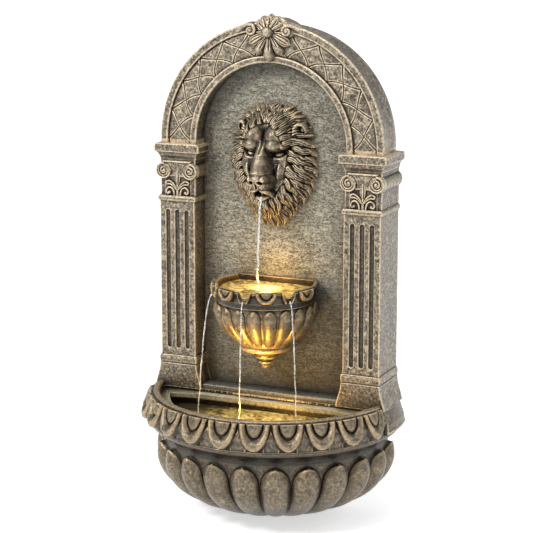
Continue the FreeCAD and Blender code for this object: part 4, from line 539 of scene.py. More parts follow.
def build_basin():
    """The basin: gadrooned belly, leafed rim, ledge round the pool and a flat seat for the back."""
    z = np.concatenate([np.linspace(0, 20, 24), np.linspace(20, BELLY_TOP, 104)[1:]])
    t = z / BELLY_TOP
    envelope = FOOT_RADIUS + BELLY_SPAN * (1 - (1 - t) ** 3.02) ** 0.847
    depth = LOBE_DEPTH * (0.3 + 0.7 * smoothstep(z, -4, 40))
    ground = np.minimum(envelope - depth, NECK_RADIUS)
    ground += smoothstep(z, 104, BELLY_TOP) * (NECK_RADIUS - ground)
    belly = np.column_stack([ground, z])
    cove = smooth_path([(NECK_RADIUS, BELLY_TOP), (184.0, 131), (190, 138), (199, 143), (202.5, 147),
                        (203.6, 151)], 40)
    lip = smooth_path([(203.6, 151), (207.6, 152.6), (209.8, 155.6), (208.6, 159.5)], 12)
    slope = resample([(208.6, 159.5), (207.5, 168), RIM_EDGE], 0.55)
    top = smooth_path([RIM_EDGE, (196, 197.6), (193, CREST), (190, CREST), (187.5, 197)], 14)
    mouth = resample([(187.5, 197), (186, 186.5)], 1.5)
    ledge = smooth_path([(186, 186.5), (184.5, LEDGE_TOP + 0.3), (182, LEDGE_TOP)], 6)
    shelf = resample([(182, LEDGE_TOP), (172, LEDGE_TOP - 0.1)], 2.0)
    nose = smooth_path([(172, LEDGE_TOP - 0.1), (170.6, LEDGE_TOP - 0.6), (170, LEDGE_TOP - 2.4),
                        (170, LEDGE_TOP - 6), (170.8, LEDGE_TOP - 7.6), (172, LEDGE_TOP - 8)], 14)
    under = resample([(172, LEDGE_TOP - 8), (181, LEDGE_TOP - 8.1)], 2.0)
    inside = resample([(181, LEDGE_TOP - 8.1), (176, 150), (172, 120), (174, 92), (163, 62), (140, 46),
                       (110, 38), (96, 37.4)], 6.0)
    profile = profile_of([
        (chain(belly, cove, lip, slope, top[:9]), WALL, 0.0),
        (chain(top[9:], mouth, ledge), PARTITION_Y, 0.0),
        (shelf[1:4], PARTITION_Y, 4.0), (chain(shelf[4:], nose), LEDGE_Y, 40.0),
        (chain(under[1:], inside), PARTITION_Y, 0.0)])
    angles = np.concatenate([np.linspace(-108, 108, 1081), np.arange(110, 250.1, 2.0)])
    out = np.zeros((len(profile), len(angles)))
    up = np.zeros_like(out)

    pitch = 360 / LOBE_COUNT
    bump = lobes(angles, z, pitch, pitch / 2, (0, 34), 88.0, 120.0)
    out[:len(z)] = bump * (envelope - ground + 0.4)[:, None]
    start = len(chain(belly, cove, lip))
    crest_index = start + len(slope) - 1
    leaf_rows = slice(start - len(lip) + 1, crest_index)
    run = np.hypot(profile[leaf_rows, 0] - RIM_EDGE[0], profile[leaf_rows, 1] - RIM_EDGE[1])
    ornate = np.abs(angles) < 80.5
    leaves = leaf_fields(angles, run, LEAF_PITCH * np.arange(-5, 6), 42.0, 24.6, LEAF_RADIUS)
    between = LEAF_PITCH * (np.arange(-6, 6) + 0.5)
    relief = np.maximum(egg_leaves(leaves, run, 8.0),
                        darts(angles, run, between, 37.5, 13.0, LEAF_RADIUS, 1.6))
    relief *= 1 - 0.6 * smoothstep(np.abs(angles), 68, 77)[None]
    recess = np.minimum(6.5, np.maximum(profile[leaf_rows, 0] - 203.4, 0)) * smoothstep(run, 20, 33)
    relief -= recess[:, None] * (1 - leaf_cover(leaves))
    relief = relief * ornate[None] + (~ornate)[None] * 0.4 * smoothstep(run, 0, 6)[:, None]
    lean = 0.25 * smoothstep(run, 10, 36)[:, None]
    out[leaf_rows] += relief * (0.93 + lean)
    up[leaf_rows] += relief * (0.34 - lean)
    grid = turned(profile, angles, (out, up), 0.0)

    # The back stands on a seat, whose rows step down a little so that none falls onto another.
    seat = (grid[..., 1] > SEAT_Y) & (grid[..., 2] > DECK - 0.01)
    seat &= (np.arange(len(profile)) < crest_index + 30)[:, None]
    seat_z = DECK - 0.05 - 0.002 * np.arange(len(profile))[:, None]
    grid[..., 2] = np.where(seat, seat_z, grid[..., 2])
    piece = add_turned("basin_casting", grid)
    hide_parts("lower_basin")
    low, high = node_box("access_cover")
    gap = 0.4
    cut_away(piece, (low[0] - gap, low[1] - 0.2, low[2] - gap), (high[0] + gap, high[1] + 5, high[2] + 0.7))
    low, high = node_box("cord_gland")
    middle, half = (low[0] + high[0]) / 2, 12.0
    cut_away(piece, (middle - half, low[1] - 1, -1), (middle + half, WALL + 1, low[2] + 6))
    return piece


def build_bowl():
    """The upper bowl: finial, ring, gadroons, leaves and three pouring lips."""
    top = BOWL_TOP
    finial = smooth_path([(3.0, top - 140), (4.8, top - 139.4), (7.2, top - 136.5), (7.4, top - 133.5),
                          (6.6, top - 131.6)], 14)
    knob = smooth_path([(6.6, top - 131.6), (10.6, top - 131), (12.2, top - 128.4), (11.4, top - 125.6),
                        (13.5, top - 123.4)], 16)
    cup = smooth_path([(13.5, top - 123.4), (17.2, top - 120.8), (18.6, top - 116), (22.5, top - 111.6),
                       (25, top - 110.4)], 18)
    ring = smooth_path([(25, top - 110.4), (34, top - 109), (39.5, top - 107), (41.6, top - 103.4),
                        (40.6, top - 100.4), (37.5, top - 99.2)], 22)
    z = np.linspace(top - 99, top - 29.5, 84)
    envelope = np.interp(z, [281, 284, 290.5, 301, 319, 334, 344, 350.5],
                         [39.5, 44.5, 52, 64, 77, 82.5, 82.3, 80])
    envelope = np.convolve(np.pad(envelope, 3, mode="edge"), np.ones(7) / 7, mode="valid")
    depth = 6.2 * smoothstep(z, 281, 292)
    ground = np.minimum(envelope - depth, 76.0)
    belly = np.column_stack([ground, z])
    cove = smooth_path([(76, 350.5), (75.9, 353), (75.8, 356.5), (75.9, 359.0), (76.4, 360.4)], 20)
    lip = smooth_path([(76.4, 360.4), (79.6, 360.9), (81.4, 362.2), (81.8, 364.4)], 12)
    slope = resample([(81.8, 364.4), (82.0, 370), BOWL_EDGE], 0.35)
    crest = smooth_path([BOWL_EDGE, (79.6, 380.1), (78, top + 0.2), (76.4, 379.6), (75.4, 377)], 12)
    inside = resample([(75.4, 377), (73.5, 366), (71, 345), (69, 328), (58, 306), (40, 294), (24, 291),
                       (23, 292), (23, 355.5), (20, 355.8)], 4.0)
    stem = chain(finial, knob, cup, ring)
    wall = chain(belly, cove, lip, slope, crest[:7])
    profile = profile_of([(np.vstack([stem, wall]), PANEL_Y + 0.5, 0.0),
                          (chain(crest[7:], inside), BOWL_BACK, 0.0)])
    angles = np.concatenate([np.linspace(-125, 125, 1001), np.arange(127, 233.1, 2.0)])
    out = np.zeros((len(profile), len(angles)))
    up = np.zeros_like(out)

    bump = lobes(angles, z, 19.2, 9.6, (281, 296), 336.0, 349.5, 0.86)
    out[len(stem):len(stem) + len(z)] = bump * (envelope - ground + 0.3)[:, None]
    start = len(stem) + len(chain(belly, cove, lip))
    leaf_rows = slice(start - len(lip) + 1, start + len(slope) - 1)
    run = np.hypot(profile[leaf_rows, 0] - BOWL_EDGE[0], profile[leaf_rows, 1] - BOWL_EDGE[1])
    leaves = leaf_fields(angles, run, [BOWL_LEAF_STEP * k for k in (-3, -1, 1, 3)], 19.6, 17.0,
                         BOWL_LEAF_RADIUS)
    lips = [off_centre(angles, BOWL_LEAF_STEP * k, BOWL_LEAF_RADIUS) for k in (-2, 0, 2)]
    relief, cover = egg_leaves(leaves, run, 6.4), leaf_cover(leaves)
    narrowing = np.clip((run / 16.0)[:, None], 0, 1.1)
    for x in lips:
        cover = np.maximum(cover, smoothstep(13.0 - 5.5 * narrowing - x, 0.0, 2.0))
        channel = 9.0 - 6.2 * narrowing
        flank = np.exp(-(((x - channel - 3.2) / 2.8) ** 2)) * ((run / 16.0)[:, None] < 1.12)
        relief = np.maximum(relief, 6.6 * flank * smoothstep(run, 0.0, 2.0)[:, None])
        relief -= 3.0 * smoothstep(channel - x, 0.0, 3.0) * smoothstep(run, 0, 3)[:, None]
    recess = np.minimum(6.4, profile[leaf_rows, 0] - 76.2) * smoothstep(run, 2.5, 7.5)
    relief = relief * cover - recess[:, None] / 0.9 * (1 - cover)
    out[leaf_rows] += relief * 0.9
    up[leaf_rows] += relief * 0.25
    notch = np.max([smoothstep(13.0 - x, 0.0, 9.0) for x in lips], axis=0)
    near_top = smoothstep(profile[:, 1], 364, 380)[:, None] * (np.arange(len(profile)) >= start - 1)[:, None]
    up -= near_top * notch * 9.5
    piece = add_turned("bowl_casting", turned(profile, angles, (out, up), BOWL_Y))
    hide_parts("upper_bowl")
    return piece


# The arched back


def build_arch():
    """The arch and its two short legs: a section swept over the crown."""
    edge, count = 2.6, 6
    inner_turn, outer_turn = round_corners(ARCH_INNER, ARCH_OUTER, ARCH_Y, edge, count)
    fillet = ((-1.6, -0.4), (-0.4, 0.5), (0, 3.2), (0.4, 5.2))
    step_in = smooth_path([(BAND_INNER + dx, ARCH_Y + dy) for dx, dy in fillet], 8)
    step_out = smooth_path([(BAND_OUTER - dx, ARCH_Y + dy) for dx, dy in reversed(fillet)], 8)
    reveal = resample([(ARCH_INNER, PANEL_Y + 2), (ARCH_INNER, ARCH_Y + edge)], 2.0)
    inner_band = resample([(ARCH_INNER + edge, ARCH_Y), (BAND_INNER - 1.6, ARCH_Y - 0.4)], 1.0)
    outer_band = resample([(BAND_OUTER + 1.6, ARCH_Y - 0.4), (ARCH_OUTER - edge, ARCH_Y)], 1.0)
    frieze_r = np.linspace(BAND_INNER + 0.4, BAND_OUTER - 0.4, 100)
    middle = (BAND_INNER + BAND_OUTER) / 2
    half = (BAND_OUTER - BAND_INNER) / 2
    u = (frieze_r - middle) / half
    frieze = np.column_stack([frieze_r, ARCH_Y + 5.2 - 4.4 * np.sqrt(np.maximum(1 - u**2, 0))])
    side = smooth_path([(ARCH_OUTER, ARCH_Y + edge), (189.0, -12), (186.6, 0), (185.4, 12), (185.6, 24),
                        (185.0, 34), (ARCH_BACK, WALL)], 40)
    before = chain(reveal, inner_turn, inner_band, step_in)
    section = np.vstack([chain(before, frieze, step_out, outer_band, outer_turn, side),
                         [(175.4, WALL), (175.4, 12), (ARCH_INNER, 12)]])
    rows = slice(len(before) - 1, len(before) + len(frieze_r) - 1)

    arc = np.linspace(-90, 90, 721)
    length = np.radians(arc) * middle
    uu = u[:, None]
    groove = np.zeros((len(frieze_r), len(arc)))
    crossings = LATTICE_FIRST + LATTICE_PITCH * np.arange(-1, 6)
    slant = middle * np.radians(LATTICE_PITCH / 2) / half
    for crossing in np.concatenate([crossings, -crossings]):
        for way in (-1, 1):
            bend = crossing + way * (LATTICE_PITCH / 2) * (uu + 0.10 * np.sin(np.pi * uu))
            distance = np.abs(length[None] - np.radians(bend) * middle) / math.sqrt(1 + slant**2)
            groove = np.maximum(groove, np.exp(-((distance / 0.95) ** 2)))
    relief = np.zeros((len(section), len(arc)))
    relief[rows] = 1.7 * groove
    r, y = section[:, 0:1], section[:, 1:2]
    a = np.radians(arc)[None]
    grid = np.zeros((len(section), len(arc) + 2, 3))
    grid[:, 1:-1] = np.stack([r * np.sin(a), y + relief, ARCH_Z + r * np.cos(a)], axis=-1)
    for column, source in ((0, 1), (-1, -2)):
        grid[:, column] = grid[:, source]
        grid[:, column, 2] -= ARCH_Z - (ABACUS_TOP - 3)
    return weld(add_mesh("arch_casting", grid, sweep_faces(*grid.shape[:2])))


def spread_at(z):
    """How far a pilaster stands out over its shaft at each height."""
    def roll(low, high, size, edge, power):
        t = np.clip((z - low) / (high - low), edge, 1 - edge)
        return np.where((z >= low) & (z < high), size * np.sin(np.pi * t) ** power, 0)

    flare = 8.5 * (1 - smoothstep(z, 188, 231)) ** 1.25
    plinth = np.where(z < BAND_LOW, 2.2 + flare, 0.0)
    cap = np.clip((z - CAPITAL_TOP) / (ABACUS_LOW - CAPITAL_TOP), 0, 1)
    hollow = np.where((z >= CAPITAL_TOP) & (z < ABACUS_LOW), 1.0 + 5.5 * cap**2.2, 0)
    top = np.clip((z - ABACUS_LOW) / (ABACUS_TOP - ABACUS_LOW), 0, 1)
    abacus = np.where(z >= ABACUS_LOW, 8.6 - 1.8 * np.maximum(top - 0.8, 0) * 5, 0)
    half = (PILASTER_OUT - PILASTER_IN) / 2
    scroll = np.sqrt(np.maximum(SCROLL_RADIUS**2 - (z - SCROLL_Z) ** 2, 0)) + SCROLL_X - half
    bolster = np.where((z >= CAPITAL_LOW) & (z < CAPITAL_TOP), np.maximum(scroll, 0), 0)
    return (plinth + roll(BAND_LOW, SHAFT_LOW, 2.6, 0.06, 0.4) + roll(SHAFT_TOP, CAPITAL_LOW, 2.8, 0.05, 0.5)
            + hollow + abacus + bolster)


def build_pilaster(side):
    """A pilaster as a wrapped grid: up its height, and round its front and outer side."""
    below = 0.02
    z = np.unique(np.concatenate([np.linspace(*levels) for levels in (
        (DECK, BAND_LOW - below, 60), (BAND_LOW, SHAFT_LOW - below, 16), (SHAFT_LOW, SHAFT_LOW + 24, 40),
        (SHAFT_LOW + 24, SHAFT_TOP - 24, 60), (SHAFT_TOP - 24, SHAFT_TOP - below, 40),
        (SHAFT_TOP, CAPITAL_LOW - below, 14), (CAPITAL_LOW, CAPITAL_TOP - below, 60),
        (CAPITAL_TOP, ABACUS_LOW - below, 14), (ABACUS_LOW, ABACUS_TOP, 14))]))
    edge = 1.6
    width = PILASTER_OUT - PILASTER_IN
    inner_turn, outer_turn = round_corners(0, width, PILASTER_Y, edge, 5)
    inner_line = resample([(0, PANEL_Y + 2), (0, PILASTER_Y + edge)], 3.0)
    front = resample([(edge, PILASTER_Y), (width - edge, PILASTER_Y)], 0.5)
    outer_line = resample([(width, PILASTER_Y + edge), (width, WALL)], 2.0)
    plan = np.vstack([chain(inner_line, inner_turn, front, outer_turn, outer_line),
                      [(width - 8, WALL), (width - 8, PANEL_Y + 6), (0, PANEL_Y + 6)]])
    x, y = plan[:, 0][None], plan[:, 1][None]
    zz = z[:, None]
    out_share = np.clip((x - width / 2) / (width / 2), -1, 1)
    inside_wall = (x <= width - 7.9) & (y > PANEL_Y + 5)
    shaped_x = np.where(inside_wall, PILASTER_IN + x + 0 * zz, PILASTER_IN + x + out_share * spread_at(zz))
    capital = (zz >= CAPITAL_LOW) & (zz < CAPITAL_TOP)
    neck = (zz >= CAPITAL_TOP) & (zz < ABACUS_LOW)
    recess = np.where(capital, CAPITAL_RECESS, 0.0)
    recess = recess + np.where(neck, 5.0 - 4.0 * np.clip((zz - CAPITAL_TOP) / 12, 0, 1) ** 2, 0)
    ahead = np.clip((PANEL_Y - y) / (PANEL_Y - PILASTER_Y), 0, 1)
    shaped_y = y - ahead * (np.minimum(spread_at(zz), 2.4) - recess)
    flutes = np.zeros_like(shaped_y)
    dz = zz - np.clip(zz, SHAFT_LOW + 15.5, SHAFT_TOP - 17.5)
    for k in (-1, 0, 1):
        distance = np.hypot(x - (width / 2 + 16.3 * k), dz)
        flutes = np.maximum(flutes, 4.2 * np.sqrt(np.maximum(1 - (distance / 4.1) ** 2, 0)))
    on_front = np.abs(y - PILASTER_Y) < 0.01
    shaped_y = shaped_y + np.where(on_front, flutes, 0)
    grid = np.stack([shaped_x * side, shaped_y + 0 * zz, zz + 0 * x], axis=-1)
    faces = tube_faces(*grid.shape[:2], flip=True)
    return weld(add_mesh(f"{SIDE_NAMES[side]}_pilaster_casting", grid, faces))


def spiral(centre, radius, turns, start, way, count=40, end_share=0.16):
    """Points of a flat spiral in X and Z that winds inward."""
    t = np.linspace(0, 1, count)
    angle = start + way * t * turns * 2 * np.pi
    r = radius * (1 - (1 - end_share) * t**0.8)
    return np.column_stack([centre[0] + r * np.cos(angle), centre[1] + r * np.sin(angle)])


def capital_ornament(side):
    """The scrolls and the palmette on a capital's front."""
    middle = side * (PILASTER_IN + PILASTER_OUT) / 2
    relief = Relief((middle - 38, middle + 38), (CAPITAL_LOW - 1, CAPITAL_TOP), 0.42)
    x, z = relief.x - middle, relief.z
    bar_top = CAPITAL_TOP - 3.2
    slab = 4.6 * smoothstep(z, SCROLL_Z - 10, SCROLL_Z + 8) * smoothstep(bar_top + 1.5 - z, 0, 2.0)
    relief.height = np.where(np.abs(x) < SCROLL_X, np.maximum(slab, 0.05), relief.EMPTY)
    for way in (-1, 1):
        dx, dz = way * (x - way * SCROLL_X), z - SCROLL_Z
        distance = np.hypot(dx, dz)
        share = distance / SCROLL_RADIUS
        disc = 6.6 * np.maximum(1 - share**7, 0) ** 0.5
        turn = np.arctan2(dx, dz) % (2 * np.pi)
        for lap in (1, 2):
            total = turn / (2 * np.pi) + lap
            groove = SCROLL_RADIUS - 4.9 * total
            shown = (total > 0.95) & (total < 2.25)
            disc -= np.where(shown, 3.4 * np.exp(-(((distance - groove) / 0.9) ** 2)), 0)
        relief.height = np.where(share < 1, np.maximum(disc, 0.05), relief.height)
        rim = [(middle + way * (SCROLL_X + 11.6 * math.sin(a)), SCROLL_Z + 11.6 * math.cos(a))
               for a in np.linspace(0, 4.4, 24)]
        relief.cord(rim, 1.5, 6.2, 0.8)
        relief.dome((middle + way * (SCROLL_X - 1.0), SCROLL_Z), 7.6, (3.3, 3.3), 4, blend=0.3)
    relief.cord([(middle + px, bar_top) for px in np.linspace(-SCROLL_X, SCROLL_X, 9)], 1.7, 4.6, 0.9)
    root = CAPITAL_LOW + 9
    relief.leaf((middle, root + 5.5), 0, 28.0, (1.6, 3.4, 5.0, 5.2, 3.4, 0.1), (3.4, 4.2, 4.8, 4.8, 4.2, 3),
                (0.45,), 0.86, 0.3)
    relief.tube([(middle, CAPITAL_LOW), (middle, root), (middle, root + 8)], [2.4, 2.0, 1.6], [1.6, 1.8, 2.0])
    upper = ((1.5, 10), (4.5, 15.5), (9.0, 20.5), (14.5, 23.5), (19.5, 22.0))
    under = ((3.0, 11), (8.0, 16.0), (13.0, 18.3), (18.2, 18.2), (19.9, 21.0))
    curl = ((5.2, 1), (6.0, 6), (8.6, 11), (13.0, 13.2), (17.6, 11.0), (19.4, 6.6), (17.2, 3.2), (13.8, 4.4))
    for way in (-1, 1):
        for line, radius in ((upper, 1.55), (under, 1.45), (curl, 1.6)):
            relief.cord([(middle + way * px, CAPITAL_LOW + pz) for px, pz in line], radius, 2.2, 1.3)
        relief.dome((middle + way * 14.2, CAPITAL_LOW + 4.8), 4.4, (2.4, 2.4), 3, blend=0.3)
    relief.height = np.where(z > bar_top + 2.6, relief.EMPTY, relief.height)
    relief.soften()
    ground = PILASTER_Y + CAPITAL_RECESS
    return relief.casting(f"{SIDE_NAMES[side]}_capital_ornament", ground, ground + 5, 0.0)


def build_panel():
    """The flat panel behind the bowl and the mask, the sill below it and the flange behind that."""
    half = ARCH_INNER + 3
    crown = np.sin(np.linspace(0, 1.565, 120)[1:])
    z = np.concatenate([np.linspace(DECK, ARCH_Z, 220), ARCH_Z + half * crown])
    reach = np.where(z <= ARCH_Z, half, np.sqrt(np.maximum(half**2 - (z - ARCH_Z) ** 2, 0)))
    x = reach[:, None] * np.linspace(-1, 1, 150)[None]
    zz = z[:, None] + 0 * x
    halo = np.hypot((x - MANE_X) / (MANE_HALF + 7), (zz - MANE_Z) / (MANE_TALL + 8))
    front = np.stack([x, PANEL_Y - 1.6 * smoothstep(-halo, -1.03, -0.97), zz], axis=-1)
    behind = front.copy()
    behind[..., 1] = PANEL_Y + 7
    panel = close_sheets("panel_casting", front, behind)

    section = np.array([(SILL_Y, DECK), (SILL_Y, SILL_TOP - 2), (SILL_Y + 0.7, SILL_TOP - 0.6),
                        (SILL_Y + 2.2, SILL_TOP), (PANEL_Y + 3, SILL_TOP), (PANEL_Y + 3, DECK)])
    grid = np.zeros((len(section), 60, 3))
    grid[..., 0] = np.linspace(-PILASTER_IN - 4, PILASTER_IN + 4, 60)
    grid[..., 1:] = section[:, None]
    sill = weld(add_mesh("sill_casting", grid, sweep_faces(*grid.shape[:2])))

    # The hose and the leads go up through a window in the flange.
    reach = PILASTER_OUT - 4.5
    flange = add_box("flange_casting", (-reach, PANEL_Y + 5.5, DECK), (reach, WALL, SILL_TOP))
    cut_away(flange, (-62.0, PANEL_Y + 7.5, DECK - 1), (84.0, PANEL_Y + 32.0, SILL_TOP + 1))
    return panel, sill, flange


def build_shell():
    """The shell ornament on the crown: a fan above, leaves below, a scroll on each side, a boss."""
    centre = (0.0, 770.0)
    ground = ARCH_Y + 4.5
    shell = Relief((-54, 54), (718, SHELL_TOP - 0.3), 0.5)
    shell.height[np.hypot(shell.x, shell.z - centre[1]) < 12] = 7.0
    # Angle from the vertical, length, half widths, crest heights, grooves and where these end.
    leaves = (
        (97, 33, (2.6, 3.0, 3.6, 3.8, 3.0, 0.1), (10, 11, 10.5, 9.5, 8, 4), (0.0,), 0.8),
        (119, 41, (3.2, 4.8, 7.2, 9.2, 8.6, 0.1), (11, 12, 12.5, 13, 11, 5), (0.0, 0.52), 0.9),
        (59, 26.5, (3.4, 4.8, 6.0, 6.8, 6.4, 0.1), (11, 13.5, 13.5, 12, 9, 5), (0.42,), 0.86),
        (29.5, 27.5, (3.4, 4.8, 6.2, 7.0, 6.6, 0.1), (11.5, 14, 14.5, 13, 10, 5), (0.42,), 0.86),
        (149, 43.5, (3.0, 3.4, 4.4, 6.6, 7.2, 0.1), (12.5, 13.5, 14, 15.5, 14, 5), (0.36,), 0.68),
        (0, 27.2, (3.4, 4.8, 6.2, 7.2, 6.8, 0.1), (11.5, 14, 15, 13.5, 10.5, 5), (0.42,), 0.86),
        (180, 48.5, (3.0, 3.6, 5.2, 8.0, 8.6, 0.1), (13, 14, 15, 17, 15.5, 5), (0.36,), 0.66),
    )
    for angle, *shape in leaves:
        for way in (-1, 1) if angle % 180 else (1,):
            shell.leaf(centre, way * angle, *shape)
    for way in (-1, 1):
        eye = (way * 30.5, 772.0)
        shell.dome(eye, 10.0, (10.6, 10.6), 8, blend=0.4)
        line = [(way * 54, 770.5), (way * 47, 775.4), (way * 38, 779.6)]
        line += [tuple(p) for p in spiral(eye, 8.4, 1.35, math.pi / 2, way, 40, 0.2)]
        place, end = range(len(line)), len(line) - 1
        shell.tube(line, np.interp(place, (0, 3, end), (3.4, 3.0, 1.9)),
                   np.interp(place, (0, 2, 3, end), (3.0, 7.0, 9.0, 10.5)), 1.1)
        shell.dome(eye, 14.0, (3.4, 3.4), 5, blend=0.4)
    shell.dome(centre, 22.5, (8.2, 8.2), 10, blend=0.6)
    shell.soften()
    ornament = shell.casting("shell_ornament", ground, ground + 6)

    # The block that carries the ornament back to the wall.
    sides = np.linspace(-1, 1, 60)
    depth = np.linspace(0, 1, 40)[:, None]
    half, top, front = 30.0, SHELL_TOP - 3.5, ground + 2.5
    xs = half * sides
    rise = 1 - np.abs(sides) ** 2.6
    low = ARCH_Z + np.sqrt(ARCH_OUTER**2 - xs**2) - 3
    swell_back = 1 - 0.25 * depth**2 + 0.05 * np.sin(9 * depth + 3 * sides[None])
    block = np.zeros((len(depth), len(sides), 3))
    block[..., 0] = xs[None] * (1 - 0.10 * depth)
    block[..., 1] = front + (WALL - 5 - front) * depth
    block[..., 2] = low[None] - 6 * depth + (top - low)[None] * rise[None] * np.minimum(swell_back, 1)
    under = block.copy()
    under[..., 2] = low[None] - 8
    crest = close_sheets("shell_block", block, under)
    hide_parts("keystone_shell")
    return ornament, crest


# The lion


def build_lion():
    """The lion's mask: a face moulded from domes, ridges and dents, in a combed mane."""
    head = Relief((-78, 70), (MASK_Z - 98, MASK_Z + 96), 0.6)
    narrow = 1 - MANE_TAPER * np.clip((MANE_Z - head.z) / MANE_TALL, 0, 1.05) ** 1.3
    reach = np.hypot((head.x - MANE_X) / (MANE_HALF * narrow), (head.z - MANE_Z) / MANE_TALL)
    low_edge = 11.0 - 5.0 * smoothstep(head.z, MANE_Z + 20, MANE_Z + MANE_TALL)
    mane = low_edge + 38.0 * np.maximum(1 - reach**2, 0) ** 0.72
    head.height = np.where(reach < 1, mane, head.EMPTY)
    mould_face(head)
    comb_mane(head, reach)
    open_mouth(head)
    head.soften()
    piece = head.casting("lion_casting", PANEL_Y, PANEL_Y + 1.5)
    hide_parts("lion_mask")
    return piece


def mould_face(head):
    """Brow, eyes, cheeks, nose and muzzle. The order matters, as each form blends into those before."""
    x0 = FACE_X

    def side_domes(way, *domes):
        """Domes on one side: offset, height, top, half sizes, depth, tilt and blend."""
        for px, pz, top, half, depth, tilt, blend in domes:
            head.dome((x0 + way * px, pz), top, half, depth, way * tilt, blend)

    head.dome((x0, 583), 48, (42, 55), 30, blend=8)
    for way in (-1, 1):
        side_domes(way, (17, 609, 58, (17, 19), 22, 14, 7), (31, 566, 47, (13, 20), 20, -8, 8),
                   (23, 556, 52, (12, 15), 18, 25, 8))
    levels = (530, 542, 556, 570, 584, 594, 604, 614)
    bridge = np.interp(head.z, levels, (73, 80, 78, 73, 66.5, 58.0, 48, 38))
    half = np.interp(head.z, levels, (13, 14.5, 14.5, 13, 11, 10, 9, 8))
    slope = np.abs(head.x - x0) / half
    bridge = np.where((head.z > 530) & (head.z < 615), bridge - 12.0 * slope**2.8, head.EMPTY)
    head.join(bridge, 8.0)
    head.dent((x0, 606), (2.6, 16), 4.0)
    for way in (-1, 1):
        head.dent((x0 + way * 24.0, 584.0), (10.0, 4.6), 14.0, way * -12)
        side_domes(way, (18.0, 597, 62.5, (12.5, 10.0), 16, -6, 8.0),
                   (29.0, 597, 54.0, (9.0, 6.0), 10, 4, 6.0), (23.5, 581.8, 43.5, (5.6, 3.2), 5, -10, 0.8))
        head.dent((x0 + way * 20.0, 553), (3.6, 12.0), 6.0, way * 14)
        side_domes(way, (8.6, 536.5, 77.0, (9.4, 11.0), 30, 8, 3.0),
                   (10.5, 547, 80.5, (4.8, 5.6), 8, 0, 2.5))
    head.dome((x0, 546.5), 82.5, (12.0, 7.6), 10, blend=3.0)
    head.dome((x0, 540.0), 79.5, (5.0, 5.0), 8, blend=2.0)
    head.dome((x0, 506), 54, (13, 13), 20, blend=4)
    for way in (-1, 1):
        head.dent((x0 + way * 7.4, 541.8), (3.4, 2.4), 9.0, way * 18)
        for row in range(2):
            for dot in range(3):
                head.dent((x0 + way * (7.5 + 3.4 * dot), 536.5 - 3.8 * row - 0.8 * dot), (1.0, 1.0), 1.6)
    head.score([(x0, 538.0), (x0, 534), (x0, 530)], 1.6, 6.0)


def open_mouth(head):
    """The open mouth between the muzzle and the lower lip."""
    x0 = FACE_X + 1.0
    wide, high = 13.0, 6.8
    u, v = (head.x - x0) / wide, (head.z - MOUTH_Z + 2.0) / high
    inside = smoothstep(1.25 - np.hypot(u, v), 0.0, 0.34)
    head.height += (np.minimum(head.height, 30.0) - head.height) * inside
    lip = [(x0 + px, MOUTH_Z - pz) for px, pz in ((-9, 7.4), (-5, 9.2), (0, 9.8), (5, 9.2), (9, 7.4))]
    head.tube(lip, [1.8, 3.0, 3.4, 3.0, 1.8], [53, 56.5, 57.5, 56.5, 53], 0.9)
    flews = ((2, 531.5), (6, 529.0), (10.5, 527.0), (14.5, 523.5), (16.5, 517.5))
    for way in (-1, 1):
        head.tube([(x0 + way * px, pz) for px, pz in flews], [2.2, 3.0, 3.2, 2.8, 1.6],
                  [69, 69, 66, 59.0, 51], 0.9)


def comb_mane(head, reach):
    """Tufts of locks that flow out and down from the face, laid ring over ring."""
    rng = np.random.default_rng(5)
    ground = Relief((head.xs[0], head.xs[-1]), (head.zs[0], head.zs[-1]), head.step)
    ground.height = head.height.copy()
    ground.soften(6)
    face = np.hypot((head.x - FACE_X) / FACE_HALF, (head.z - FACE_Z) / FACE_TALL)
    head.height = np.where(reach < 1, head.height - 6.0 * smoothstep(face, 0.95, 1.15), head.height)
    # Tufts in a ring, its share of the way in from the mane's edge, their length, lift and width.
    rings = ((40, 0.68, 18.0, -1.0, 0.54), (38, 0.48, 21.0, 0.4, 0.54), (36, 0.28, 21.0, 1.4, 0.52),
             (32, 0.06, 19.0, 2.0, 0.50))
    for index, (count, share, length, layer, width) in enumerate(rings):
        for i in range(count):
            turn = (i + 0.5 * (index % 2) + rng.uniform(-0.18, 0.18)) * 2 * math.pi / count
            side, drop = math.sin(turn), max(-math.cos(turn), 0)
            if index == 0 and drop > 0.93:
                continue
            slim = 1 - MANE_TAPER * drop**1.3
            on_face = np.array([FACE_X + FACE_HALF * side, FACE_Z + FACE_TALL * math.cos(turn)])
            on_mane = np.array([MANE_X + MANE_HALF * side * slim, MANE_Z + MANE_TALL * math.cos(turn)])
            start = (1 - share) * on_face + share * on_mane
            reach_out = length * (1 + 0.42 * abs(side) + 0.55 * drop**2) * rng.uniform(0.88, 1.12)
            lay_tuft(head, ground, rng, start, turn, reach_out, layer, width)
    for way in (-1, 1):
        ear_x, ear_z = MANE_X + 2.0 + way * 49.0, 619.0
        head.dome((ear_x, ear_z), 17, (6.0, 9.0), 9, way * 34, 0.8)
        rim = [(ear_x + way * 7.4 * math.sin(a), ear_z + 9.6 * math.cos(a))
               for a in np.linspace(-1.3, 2.4, 12)]
        head.tube(rim, np.interp(range(12), (0, 4, 11), (1.6, 2.7, 1.2)),
                  np.interp(range(12), (0, 4, 11), (30, 25, 13)))
        for k in range(3):
            root = (ear_x - way * 8.0, ear_z - 6.0 + 4.5 * k)
            tip = (ear_x + way * (1.0 - 1.5 * k), ear_z - 4.5 + 4.0 * k)
            middle = ((root[0] + tip[0]) / 2, (root[1] + tip[1]) / 2 + 1.6)
            head.tube([root, middle, tip], [1.5, 1.6, 0.5], [31, 29, 20])


